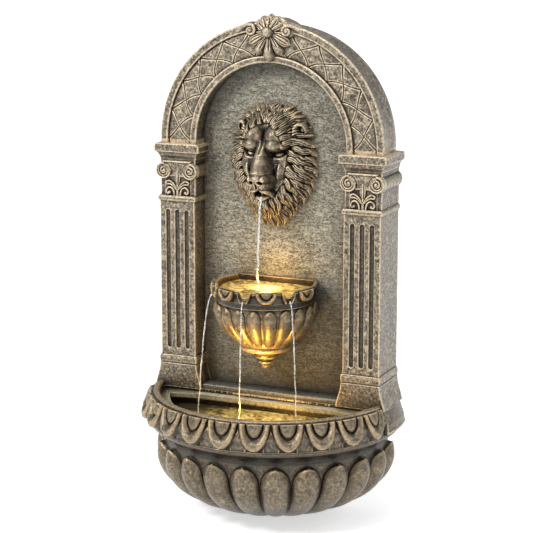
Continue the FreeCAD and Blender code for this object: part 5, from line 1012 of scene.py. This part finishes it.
def lay_tuft(head, ground, rng, start, turn, length, layer, width):
    """Three locks side by side that meet in one tip."""
    steps = 14
    side = 1.0 if math.sin(turn) >= 0 else -1.0
    phase, bend = rng.uniform(0, 2 * math.pi), rng.uniform(0.22, 0.42)
    place = np.array(start, float)
    spine, normals = [], []
    for k in range(steps):
        t = k / (steps - 1)
        here = math.atan2((place[0] - MANE_X) / MANE_HALF, (place[1] - FACE_Z + 6) / MANE_TALL)
        curl = bend * math.sin(2.4 * math.pi * t + phase) + 0.35 * t * t
        way = here + FLOW_TURN * math.sin(here) + side * curl
        along = np.array([math.sin(way), math.cos(way)])
        spine.append(place.copy())
        normals.append(np.array([along[1], -along[0]]))
        place = place + along * length / (steps - 1)
    spine, normals = np.array(spine), np.array(normals)
    t = np.linspace(0, 1, steps)
    base = np.maximum(ground.at(spine[:, 0], spine[:, 1]), 10.0)
    base = np.convolve(np.pad(base, 2, mode="edge"), np.ones(5) / 5, mode="valid")
    rise = layer + 3.4 * np.sin(np.pi * np.minimum(t * 1.15, 1)) ** 0.8 - 2.0 * t**3
    for strand_index in (-1, 1, 0):
        spread = strand_index * width * 6.2 * (1 - t**1.6) * (0.75 + 0.25 * np.sin(np.pi * t))
        line = spine + normals * spread[:, None]
        size = 1.95 * (0.62 + 0.38 * np.sin(np.pi * np.minimum(t * 1.3, 1))) * (1 - 0.72 * t**2.2)
        size *= rng.uniform(0.88, 1.12)
        lift = 0.9 if strand_index == 0 else 0.0
        head.tube([tuple(p) for p in line], size, base + rise + lift - 1.8, 1.5)


# Water


def pool_slab(name, radius, limit, axis_y, height, centres, size, rows=120, columns=300):
    """A closed slab of water, from a straight back to a round front, with ripples on top."""
    ahead = min(limit - axis_y, 0.0)
    widest = 0.999 * math.sqrt(radius**2 - ahead**2)
    x = widest * np.sin(np.linspace(-math.pi / 2, math.pi / 2, columns))[None]
    half = np.sqrt(radius**2 - x**2)
    front, back = axis_y - half, np.minimum(limit, axis_y + half)
    y = back + (front - back) * np.linspace(0, 1, rows)[:, None]
    top = np.stack([x + 0 * y, y, np.full_like(y, height)], axis=-1)
    under = top.copy()
    under[..., 2] -= 3.0
    return close_sheets(name, ripple(top, centres, size), under)


def ripple(grid, centres, size):
    """Rings on the water round the places where streams land."""
    for cx, cy, reach in centres:
        d = np.hypot(grid[..., 0] - cx, grid[..., 1] - cy)
        grid[..., 2] += size * np.cos(d * 2 * np.pi / 9.0) * np.exp(-d / reach)
    grid[..., 2] += size * 0.5 * np.sin(grid[..., 0] * 0.11 + 2) * np.sin(grid[..., 1] * 0.13)
    return grid


def build_water():
    """The pools in the basin and the bowl."""
    low = pool_slab("lower_water", 177.0, PARTITION_Y - 0.5, 0.0, WATER_LEVEL,
                    [(-83, -113, 16), (0, -141, 12), (83, -113, 16)], 0.9)
    high = pool_slab("upper_water", 72.0, -2.5, BOWL_Y, BOWL_WATER, [(0, -74, 10)], 0.5, 80, 160)
    return low, high


def stream(name, start, end, radius, seed, strands=2):
    """Falling water: twisted threads along a thrown arc, thick at the lip."""
    rng = np.random.default_rng(seed)
    start, end = np.array(start, float), np.array(end, float)
    grids = []
    t = np.linspace(0, 1, 160)
    fall = np.sqrt(t)
    for k in range(strands):
        path = np.zeros((len(t), 3))
        path[:, :2] = start[:2] + (end[:2] - start[:2]) * fall[:, None]
        path[:, 2] = start[2] - (start[2] - end[2]) * t
        phase, turns = rng.uniform(0, 6.28), rng.uniform(3.0, 5.0)
        wobble = radius * (0.75 if k else 0.35) * (0.4 + 0.6 * fall)
        path[:, 0] += wobble * np.sin(phase + turns * 2 * np.pi * t)
        path[:, 1] += wobble * np.cos(phase + turns * 2 * np.pi * t)
        noise = np.interp(t, np.linspace(0, 1, 26), rng.uniform(0.6, 1.25, 26))
        size = radius * (0.62 + 0.38 * np.exp(-t * 6)) * noise * (1.0 if k == 0 else 0.62)
        along = np.gradient(path, axis=0)
        along /= np.linalg.norm(along, axis=1)[:, None]
        across = np.cross(along, np.array([0.0, 1.0, 0.0]))
        across /= np.linalg.norm(across, axis=1)[:, None]
        lift = np.cross(across, along)
        turn = np.linspace(0, 2 * np.pi, 10, endpoint=False)[None, :, None]
        ring = across[:, None] * np.cos(turn) + lift[:, None] * np.sin(turn)
        grids.append(path[:, None] + ring * size[:, None, None])
    return add_strands(name, grids)


def build_streams():
    """The lion's stream and the three that pour over the bowl's lips."""
    step, reach, lip_z = math.radians(2 * BOWL_LEAF_STEP), 87.5, 366.0
    streams = [stream("mouth_stream", (0, -57, SPOUT_Z - 5), (0, -74, BOWL_WATER), 2.3, 3, 3)]
    for name, turn, spread, seed in (("left", -step, 1.28, 11), ("middle", 0.0, 1.16, 12),
                                     ("right", step, 1.28, 13)):
        start, end = ((r * math.sin(turn), BOWL_Y - r * math.cos(turn), z)
                      for r, z in ((reach, lip_z), (reach * spread, WATER_LEVEL)))
        streams.append(stream(f"{name}_stream", start, end, 1.35, seed))
    return streams


# Materials

WATER_IOR = 1.33
FLOOR_GLOW = 0.58
DARK = (0.014, 0.011, 0.008)
BROWN = (0.066, 0.052, 0.035)
STONE = (0.150, 0.125, 0.088)


class Nodes:
    """Short forms for building the nodes of a material or a world."""

    def __init__(self, name, kind="Material"):
        self.owner = getattr(bpy.data, f"{kind.lower()}s").new(name)
        self.owner.use_nodes = True
        self.tree = self.owner.node_tree
        self.tree.nodes.clear()
        self.output = self.tree.nodes.new(f"ShaderNodeOutput{kind}")

    def add(self, kind, inputs=(), **settings):
        node = self.tree.nodes.new(kind)
        for key, value in settings.items():
            setattr(node, key, value)
        for key, value in dict(inputs).items():
            self.feed(node.inputs[key], value)
        return node

    def feed(self, socket, value):
        """Links a socket or a node's first output to a socket, or sets a plain value."""
        if isinstance(value, bpy.types.NodeSocket):
            self.tree.links.new(value, socket)
        elif hasattr(value, "outputs"):
            self.tree.links.new(value.outputs[0], socket)
        else:
            socket.default_value = value

    def place(self):
        return self.add("ShaderNodeTexCoord").outputs["Object"]

    def height(self):
        return self.add("ShaderNodeSeparateXYZ", {"Vector": self.place()}).outputs["Z"]

    def distance(self, vector):
        return self.add("ShaderNodeVectorMath", {0: vector}, operation="LENGTH").outputs["Value"]

    def noise(self, scale, detail, rough, where=None, distort=0.0):
        inputs = {"Vector": where or self.place(), "Scale": scale, "Detail": detail, "Roughness": rough,
                  "Distortion": distort}
        return self.add("ShaderNodeTexNoise", inputs).outputs["Fac"]

    def occlusion(self, distance, samples):
        return self.add("ShaderNodeAmbientOcclusion", {"Distance": distance}, samples=samples).outputs["AO"]

    def ramp(self, value, *stops):
        """A grey level for each (place, level) stop."""
        node = self.add("ShaderNodeValToRGB", {"Fac": value})
        elements = node.color_ramp.elements
        while len(elements) < len(stops):
            elements.new(0.5)
        for element, (at, level) in zip(elements, stops):
            element.position = at
            element.color = (level, level, level, 1.0)
        return node.outputs["Color"]

    def math(self, how, a, b):
        return self.add("ShaderNodeMath", {0: a, 1: b}, operation=how).outputs[0]

    def mix(self, share, a, b):
        node = self.add("ShaderNodeMix", data_type="RGBA", blend_type="MIX")
        self.feed(node.inputs["Factor"], share)
        self.feed(node.inputs["A"], (*a, 1.0) if isinstance(a, tuple) else a)
        self.feed(node.inputs["B"], (*b, 1.0) if isinstance(b, tuple) else b)
        return node.outputs["Result"]

    def coat(self, ground, colour, share, source, *stops):
        """Lays a share of a colour over the ground, where the source's ramp lets it show."""
        return self.mix(self.math("MULTIPLY", self.ramp(source, *stops), share), ground, colour)

    def bump(self, height, distance, strength):
        inputs = {"Height": height, "Distance": distance, "Strength": strength}
        return self.add("ShaderNodeBump", inputs).outputs["Normal"]

    def principled(self, inputs):
        return self.add("ShaderNodeBsdfPrincipled", inputs)

    def finish(self, shader):
        self.tree.links.new(shader.outputs[0], self.output.inputs["Surface"])
        return self.owner


def cast_resin(name, dark, middle, pale, gold, gold_share, mottle, metal=0.3, depth=0.0008, band=None):
    """Bronze-painted resin: mottled, dry-brushed with gold on its raised edges, with painted shade in its
    hollows and creases.

    The band is a range of heights in millimetres that is left dark: painted shade in the cove under a rim.
    """
    n = Nodes(name)
    clouds = n.noise(11.0, 5.0, 0.6)
    blotch = n.noise(60.0, 6.0, 0.75, distort=0.6)
    grain = n.noise(250.0, 5.0, 0.75, distort=0.4)
    ground = n.mix(n.ramp(clouds, (0.35, 0.0), (0.65, 1.0)), middle, pale)
    ground = n.coat(ground, pale, 0.7, blotch, (0.42, 0.0), (0.62, 1.0))
    ground = n.coat(ground, gold, 0.7, blotch, (0.54, 0.0), (0.70, 1.0))
    ground = n.coat(ground, dark, mottle, grain, (0.40, 1.0), (0.50, 0.0))
    ground = n.coat(ground, gold, mottle, grain, (0.53, 0.0), (0.66, 1.0))
    # Painted shade: the band of heights in the cove under the rim is darkened.
    if band:
        low, high = (v * MM for v in band)
        soft = 0.004
        ground = n.coat(ground, dark, 0.88, n.height(), (low - soft, 0.0), (low + soft, 1.0),
                        (high - soft, 1.0), (high + soft, 0.0))
    # Painted shade: darker in the hollows, over a broad and a narrow reach of occlusion.
    ground = n.coat(ground, dark, 0.9, n.occlusion(0.05, 6), (0.42, 1.0), (0.95, 0.0))
    ground = n.coat(ground, dark, 0.95, n.occlusion(0.010, 6), (0.52, 1.0), (0.96, 0.0))
    point = n.add("ShaderNodeNewGeometry").outputs["Pointiness"]
    edges = n.ramp(point, (0.502, 0.0), (0.524, 1.0))
    brush = n.math("MULTIPLY", edges, n.ramp(grain, (0.36, 0.3), (0.52, 1.0)))
    ground = n.mix(n.math("MULTIPLY", brush, gold_share), ground, gold)
    # Painted shade in concave creases, where the pointiness is low.
    ground = n.coat(ground, dark, 0.95, point, (0.466, 1.0), (0.498, 0.0))
    relief = n.math("ADD", n.math("MULTIPLY", grain, 0.7), n.math("MULTIPLY", blotch, 0.8))
    return n.finish(n.principled({
        "Base Color": ground, "Roughness": n.ramp(blotch, (0.3, 0.20), (0.7, 0.42)), "Metallic": metal,
        "Normal": n.bump(relief, depth, 0.9)}))


def panel_resin():
    """The panel: grey olive paint, brushed in short strokes and stippled, with painted shade in its hollows
    and darker towards the bottom.
    """
    n = Nodes("panel_resin")
    stretch = n.add("ShaderNodeMapping", {"Vector": n.place(), "Scale": (1.0, 1.0, 3.4)}).outputs[0]
    clouds = n.noise(7.0, 5.0, 0.6)
    strokes = n.noise(130.0, 6.0, 0.75, where=stretch, distort=1.4)
    grain = n.noise(300.0, 4.0, 0.7, distort=0.6)
    patches = n.noise(20.0, 5.0, 0.7, where=stretch, distort=2.0)
    # The dark colour of the painted shade in the hollows and of the darkening towards the bottom.
    shade_and_bottom_dark = (0.03, 0.025, 0.018)
    ground = n.mix(n.ramp(clouds, (0.32, 0.0), (0.68, 1.0)), (0.15, 0.136, 0.10), (0.25, 0.232, 0.175))
    ground = n.coat(ground, (0.52, 0.49, 0.39), 0.55, patches, (0.50, 0.0), (0.62, 1.0))
    ground = n.coat(ground, (0.06, 0.052, 0.036), 0.55, patches, (0.36, 1.0), (0.46, 0.0))
    ground = n.coat(ground, (0.60, 0.57, 0.46), 0.9, strokes, (0.48, 0.0), (0.57, 1.0))
    ground = n.coat(ground, (0.04, 0.034, 0.024), 0.85, strokes, (0.38, 1.0), (0.47, 0.0))
    ground = n.coat(ground, (0.05, 0.043, 0.03), 0.7, grain, (0.41, 1.0), (0.49, 0.0))
    # Painted shade in the panel's hollows and corners, from occlusion.
    ground = n.coat(ground, shade_and_bottom_dark, 0.9, n.occlusion(0.055, 8), (0.35, 1.0), (0.90, 0.0))
    # Darker towards the bottom of the panel.
    ground = n.mix(n.ramp(n.height(), (0.20, 0.6), (0.37, 0.0)), ground, shade_and_bottom_dark)
    relief = n.math("ADD", n.math("MULTIPLY", strokes, 1.0), n.math("MULTIPLY", grain, 0.6))
    return n.finish(n.principled({
        "Base Color": ground, "Roughness": n.ramp(strokes, (0.3, 0.42), (0.7, 0.65)), "Metallic": 0.1,
        "Normal": n.bump(relief, 0.0015, 0.9)}))


def plain(name, colour, rough, metal=0.0, scale=300.0, depth=0.0002, transmission=0.0):
    """A small part's finish, with a little grain in its colour, gloss and surface."""
    n = Nodes(name)
    grain = n.noise(scale, 3.0, 0.6)
    wear = n.noise(scale * 0.12, 4.0, 0.6)
    change = 0.25
    low = tuple(c * (1 - change) for c in colour)
    high = tuple(min(1.0, c * (1 + change) + 0.01) for c in colour)
    return n.finish(n.principled({
        "Base Color": n.mix(n.math("MULTIPLY", n.math("ADD", grain, wear), 0.5), low, high),
        "Roughness": n.ramp(wear, (0.3, rough * 0.8), (0.7, min(1, rough * 1.25))), "Metallic": metal,
        "Normal": n.bump(grain, depth, 0.6), "Transmission Weight": transmission}))


def pool_water(name, tint, glow, glow_at, reach):
    """Still water with a painted golden glow, strongest near the lamp underneath and in ripple-shaped
    patches.
    """
    n = Nodes(name)
    ripples = n.noise(55.0, 4.0, 0.6, distort=1.5)
    offset = n.add("ShaderNodeVectorMath", {0: n.place(), 1: glow_at}, operation="SUBTRACT").outputs[0]
    near = n.ramp(n.math("DIVIDE", n.distance(offset), reach), (0.0, 1.0), (0.45, 0.55), (1.0, 0.0))
    patches = n.ramp(ripples, (0.36, 0.06), (0.62, 1.0))
    return n.finish(n.principled({
        "Base Color": (*tint, 1.0), "Roughness": 0.06, "IOR": WATER_IOR, "Transmission Weight": 0.55,
        "Normal": n.bump(ripples, 0.002, 0.5),
        # Painted glow: emission that stands in for the lamp's light in the water.
        "Emission Color": n.mix(patches, (0.75, 0.36, 0.04), (1.0, 0.72, 0.22)),
        "Emission Strength": n.math("MULTIPLY", n.math("MULTIPLY", near, patches), glow)}))


def falling_water(name, tint):
    """Clear water with pale streaks and a faint glow: painted highlights."""
    n = Nodes(name)
    streaks = n.noise(260.0, 3.0, 0.6)
    clear = n.add("ShaderNodeBsdfTransparent")
    # Painted highlights: a pale, faintly glowing body that shows in streaks.
    body = n.principled({
        "Base Color": (*tint, 1.0), "Roughness": 0.08, "IOR": WATER_IOR, "Transmission Weight": 0.45,
        "Normal": n.bump(streaks, 0.001, 0.6), "Emission Color": (*tint, 1.0), "Emission Strength": 0.05})
    share = n.ramp(streaks, (0.38, 0.12), (0.6, 0.75))
    return n.finish(n.add("ShaderNodeMixShader", {0: share, 1: clear, 2: body}))


def lit_lens(name, colour):
    """A lens with its light on."""
    n = Nodes(name)
    glow = n.mix(n.noise(220.0, 2.0, 0.5), colour, (1.0, 0.95, 0.7))
    return n.finish(n.principled({
        "Base Color": (*colour, 1.0), "Roughness": 0.2, "Transmission Weight": 0.4, "Emission Color": glow,
        "Emission Strength": 6.0}))


def paint(piece, material):
    """Gives a piece one material."""
    piece.data.materials.clear()
    piece.data.materials.append(material)


def paint_faces(piece, material, choose):
    """A second material on the faces that a test of centres and normals picks, in millimetres."""
    mesh = piece.data
    mesh.materials.append(material)
    count = len(mesh.polygons)
    centres, normals = np.empty(count * 3), np.empty(count * 3)
    mesh.polygons.foreach_get("center", centres)
    mesh.polygons.foreach_get("normal", normals)
    chosen = choose(centres.reshape(-1, 3) / MM, normals.reshape(-1, 3))
    mesh.polygons.foreach_set("material_index", chosen.astype(np.int32))


def on_ledge(centres, normals):
    """Picks the ledge round the pool, with its rounded edge."""
    x, y, z = centres.T
    level = np.abs(z - LEDGE_TOP + LEDGE_THICK / 2) < LEDGE_THICK / 2 + 0.6
    return level & (np.hypot(x, y) < LEDGE_REACH) & (normals[:, 2] > -0.2) & (y < PARTITION_Y - 0.5)


def repaint_node(name, material):
    """Gives the CAD's own piece for a node another finish."""
    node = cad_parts[name]
    if not node.material_slots:
        node.data.materials.append(material)
    for slot in node.material_slots:
        slot.link = "OBJECT"
        slot.material = material


# Build

# The bands on the basin and the bowl are painted shade, in the coves under their rims.
basin_finish = cast_resin("basin_resin", DARK, BROWN, STONE, (0.58, 0.43, 0.25), 1.0, 0.65, 0.4,
                          band=(119.0, 152.0))
back_finish = cast_resin("back_resin", DARK, (0.10, 0.083, 0.058), (0.22, 0.188, 0.135),
                         (0.70, 0.57, 0.40), 1.0, 0.9, depth=0.0012)
bowl_finish = cast_resin("bowl_resin", DARK, BROWN, STONE, (0.56, 0.39, 0.18), 1.0, 0.5, 0.4,
                         band=(351.0, 361.0))
mask_finish = cast_resin("mask_resin", (0.010, 0.008, 0.006), (0.034, 0.028, 0.020),
                         (0.088, 0.073, 0.052), (0.72, 0.57, 0.38), 0.95, 0.35, 0.5)
sill_finish = cast_resin("wet_resin", (0.006, 0.006, 0.006), (0.028, 0.027, 0.026), (0.07, 0.066, 0.06),
                         (0.22, 0.21, 0.18), 0.7, 0.6, 0.2)
ledge_finish = cast_resin("ledge_resin", (0.06, 0.05, 0.03), (0.27, 0.25, 0.16), (0.42, 0.40, 0.28),
                          (0.62, 0.58, 0.42), 0.8, 0.5, 0.1)

basin = build_basin()
paint(basin, basin_finish)
paint_faces(basin, ledge_finish, on_ledge)
bowl = build_bowl()
paint(bowl, bowl_finish)

arch = build_arch()
pilasters = [build_pilaster(side) for side in (-1, 1)]
ornaments = [capital_ornament(side) for side in (-1, 1)]
panel, sill, flange = build_panel()
for piece in (arch, *pilasters, *ornaments, sill, flange):
    paint(piece, sill_finish if piece is sill else back_finish)
paint(panel, panel_resin())
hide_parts("back_shell")

for piece in build_shell():
    paint(piece, back_finish)
lion = build_lion()
paint(lion, mask_finish)

low_water, high_water = build_water()
paint(low_water, pool_water("lower_pool", (0.10, 0.085, 0.05), 1.5,
                            (0.045, -0.120, WATER_LEVEL * MM), 0.17))
paint(high_water, pool_water("upper_pool", (0.2, 0.15, 0.06), 1.7, (0.0, -0.042, BOWL_WATER * MM), 0.09))
water = falling_water("stream_water", (0.9, 0.92, 0.9))
for piece in build_streams():
    paint(piece, water)

zinc = plain("zinc_steel", (0.55, 0.55, 0.52), 0.38, 1.0)
black_rubber = plain("black_rubber", (0.025, 0.025, 0.025), 0.7)
black_plastic = plain("black_plastic", (0.035, 0.036, 0.038), 0.4)
vinyl = plain("hose_vinyl", (0.42, 0.45, 0.43), 0.25, transmission=0.3)
cover = plain("cover_sheet", (0.085, 0.078, 0.068), 0.6, scale=160.0, depth=0.0004)
finishes = (
    (cover, "rear_cover access_cover"),
    (zinc, "left_hanger_plate right_hanger_plate rear_cover_screws access_cover_screws hanger_screws "
           "bowl_screws mask_screws joint_bolts joint_nuts hose_clamps"),
    (vinyl, "riser_hose"),
    (black_plastic, "hose_clips lead_clips cord_gland pump_housing pump_outlet upper_light_housing "
                    "lower_light_housing splice_box"),
    (black_rubber, "hose_bulkhead lead_grommets pump_suction_cups pump_lead lower_light_lead "
                   "upper_light_lead"),
    (plain("spout_brass", (0.42, 0.28, 0.12), 0.4, 1.0), "spout_elbow"),
    (plain("intake_plastic", (0.03, 0.034, 0.04), 0.45), "pump_intake_cover"),
    (plain("knob_plastic", (0.32, 0.33, 0.34), 0.4), "pump_flow_knob"),
    (plain("rotor_plastic", (0.10, 0.14, 0.28), 0.35), "pump_rotor"),
    (plain("shaft_ceramic", (0.85, 0.85, 0.82), 0.15), "pump_shaft"),
    (plain("light_board", (0.7, 0.62, 0.35), 0.4), "upper_light_board"),
    (plain("low_light_board", (0.7, 0.62, 0.35), 0.4), "lower_light_board"),
    (lit_lens("upper_lens", (1.0, 0.75, 0.3)), "upper_light_lens"),
    (lit_lens("lower_lens", (1.0, 0.72, 0.28)), "lower_light_lens"),
)
for material, nodes in finishes:
    for node in nodes.split():
        repaint_node(node, material)


# Stage, light and camera


def floor_material():
    """A pale floor that looks white wherever the object doesn't shade it."""
    n = Nodes("pale_floor")
    colour = n.mix(n.noise(3.0, 3.0, 0.5), (0.86, 0.86, 0.86), (0.90, 0.90, 0.90))
    paths = n.add("ShaderNodeLightPath")
    seen = n.math("MAXIMUM", paths.outputs["Is Camera Ray"], paths.outputs["Is Glossy Ray"])
    seen = n.math("MAXIMUM", seen, paths.outputs["Is Transmission Ray"])
    away = n.distance(n.place())
    glow = n.ramp(n.math("MULTIPLY", away, 0.1), (0.05, FLOOR_GLOW), (0.25, 1.0))
    return n.finish(n.principled({
        "Base Color": colour, "Roughness": 0.9, "Emission Color": (1.0, 1.0, 1.0, 1.0),
        "Emission Strength": n.math("MULTIPLY", seen, glow)}))


def build_stage():
    """The floor, and a world that is white to look at and softer as a light."""
    size = 40.0
    floor = bpy.data.meshes.new("floor")
    corners = [(-size, -size, 0), (size, -size, 0), (size, size, 0), (-size, size, 0)]
    floor.from_pydata(corners, [], [(0, 1, 2, 3)])
    piece = add_object("floor", floor)
    piece.data.materials.append(floor_material())
    n = Nodes("studio", "World")
    paths = n.add("ShaderNodeLightPath")
    soft = n.add("ShaderNodeBackground", {"Color": (0.92, 0.95, 1.0, 1.0), "Strength": 0.34})
    white = n.add("ShaderNodeBackground", {"Color": (1, 1, 1, 1), "Strength": 1.0})
    seen = n.math("MAXIMUM", paths.outputs["Is Camera Ray"], paths.outputs["Is Transmission Ray"])
    bpy.context.scene.world = n.finish(n.add("ShaderNodeMixShader", {0: seen, 1: soft, 2: white}))


def look_from(thing, place, target):
    """Stands a lamp or camera in a place and turns it to a target."""
    thing.location = place
    thing.rotation_euler = (Vector(target) - Vector(place)).to_track_quat("-Z", "Y").to_euler()


def add_lamp(name, kind, place, power, colour, target=None, **settings):
    """A lamp of any kind, turned to a target if it has one."""
    data = bpy.data.lights.new(name, kind)
    data.energy = power
    data.color = colour
    for key, value in settings.items():
        setattr(data, key, value)
    lamp = add_object(name, data)
    lamp.location = place
    if target:
        look_from(lamp, place, target)


def build_lights():
    """Four soft lamps round the object, and the light of its own two lamps in the water."""
    middle = (0.0, 0.0, 0.42)
    white, warm = (1, 1, 1), (1.0, 0.58, 0.12)
    for name, place, size, power, colour in (
            ("key", (-1.4, -2.4, 2.5), 1.1, 88.0, (1.0, 0.98, 0.95)),
            ("fill", (2.6, -2.0, 1.2), 2.4, 17.0, white), ("top", (0.3, -0.6, 2.6), 1.6, 20.0, white),
            ("rim", (2.0, 1.6, 1.6), 1.4, 16.0, white)):
        add_lamp(name, "AREA", place, power, colour, middle, shape="DISK", size=size)
    add_lamp("bowl_glow", "POINT", (0.0, LIGHT_Y * MM, (BOWL_TOP + 8) * MM), 0.14, warm,
             shadow_soft_size=0.012)
    add_lamp("basin_glow", "POINT", (0.02, -0.115, (WATER_LEVEL + 12) * MM), 0.55, warm,
             shadow_soft_size=0.03)
    add_lamp("basin_beam", "SPOT", (0.0, -0.158, (WATER_LEVEL + 8) * MM), 6.0, warm, (0.0, -0.07, 0.30),
             shadow_soft_size=0.02, spot_size=math.radians(46.0), spot_blend=0.6)


def build_camera():
    """The camera stands where the photograph's does, from a fit of the arch, rims and pilasters."""
    data = bpy.data.cameras.new("camera")
    data.sensor_width = 36.0
    data.lens = 126.4
    data.clip_end = 100.0
    camera = add_object("camera", data)
    look_from(camera, (1.1718, -2.6618, 1.0120), (-0.00954, -0.0166, 0.3992))
    bpy.context.scene.camera = camera


build_stage()
build_lights()
build_camera()
bpy.context.scene.view_settings.view_transform = "Standard"
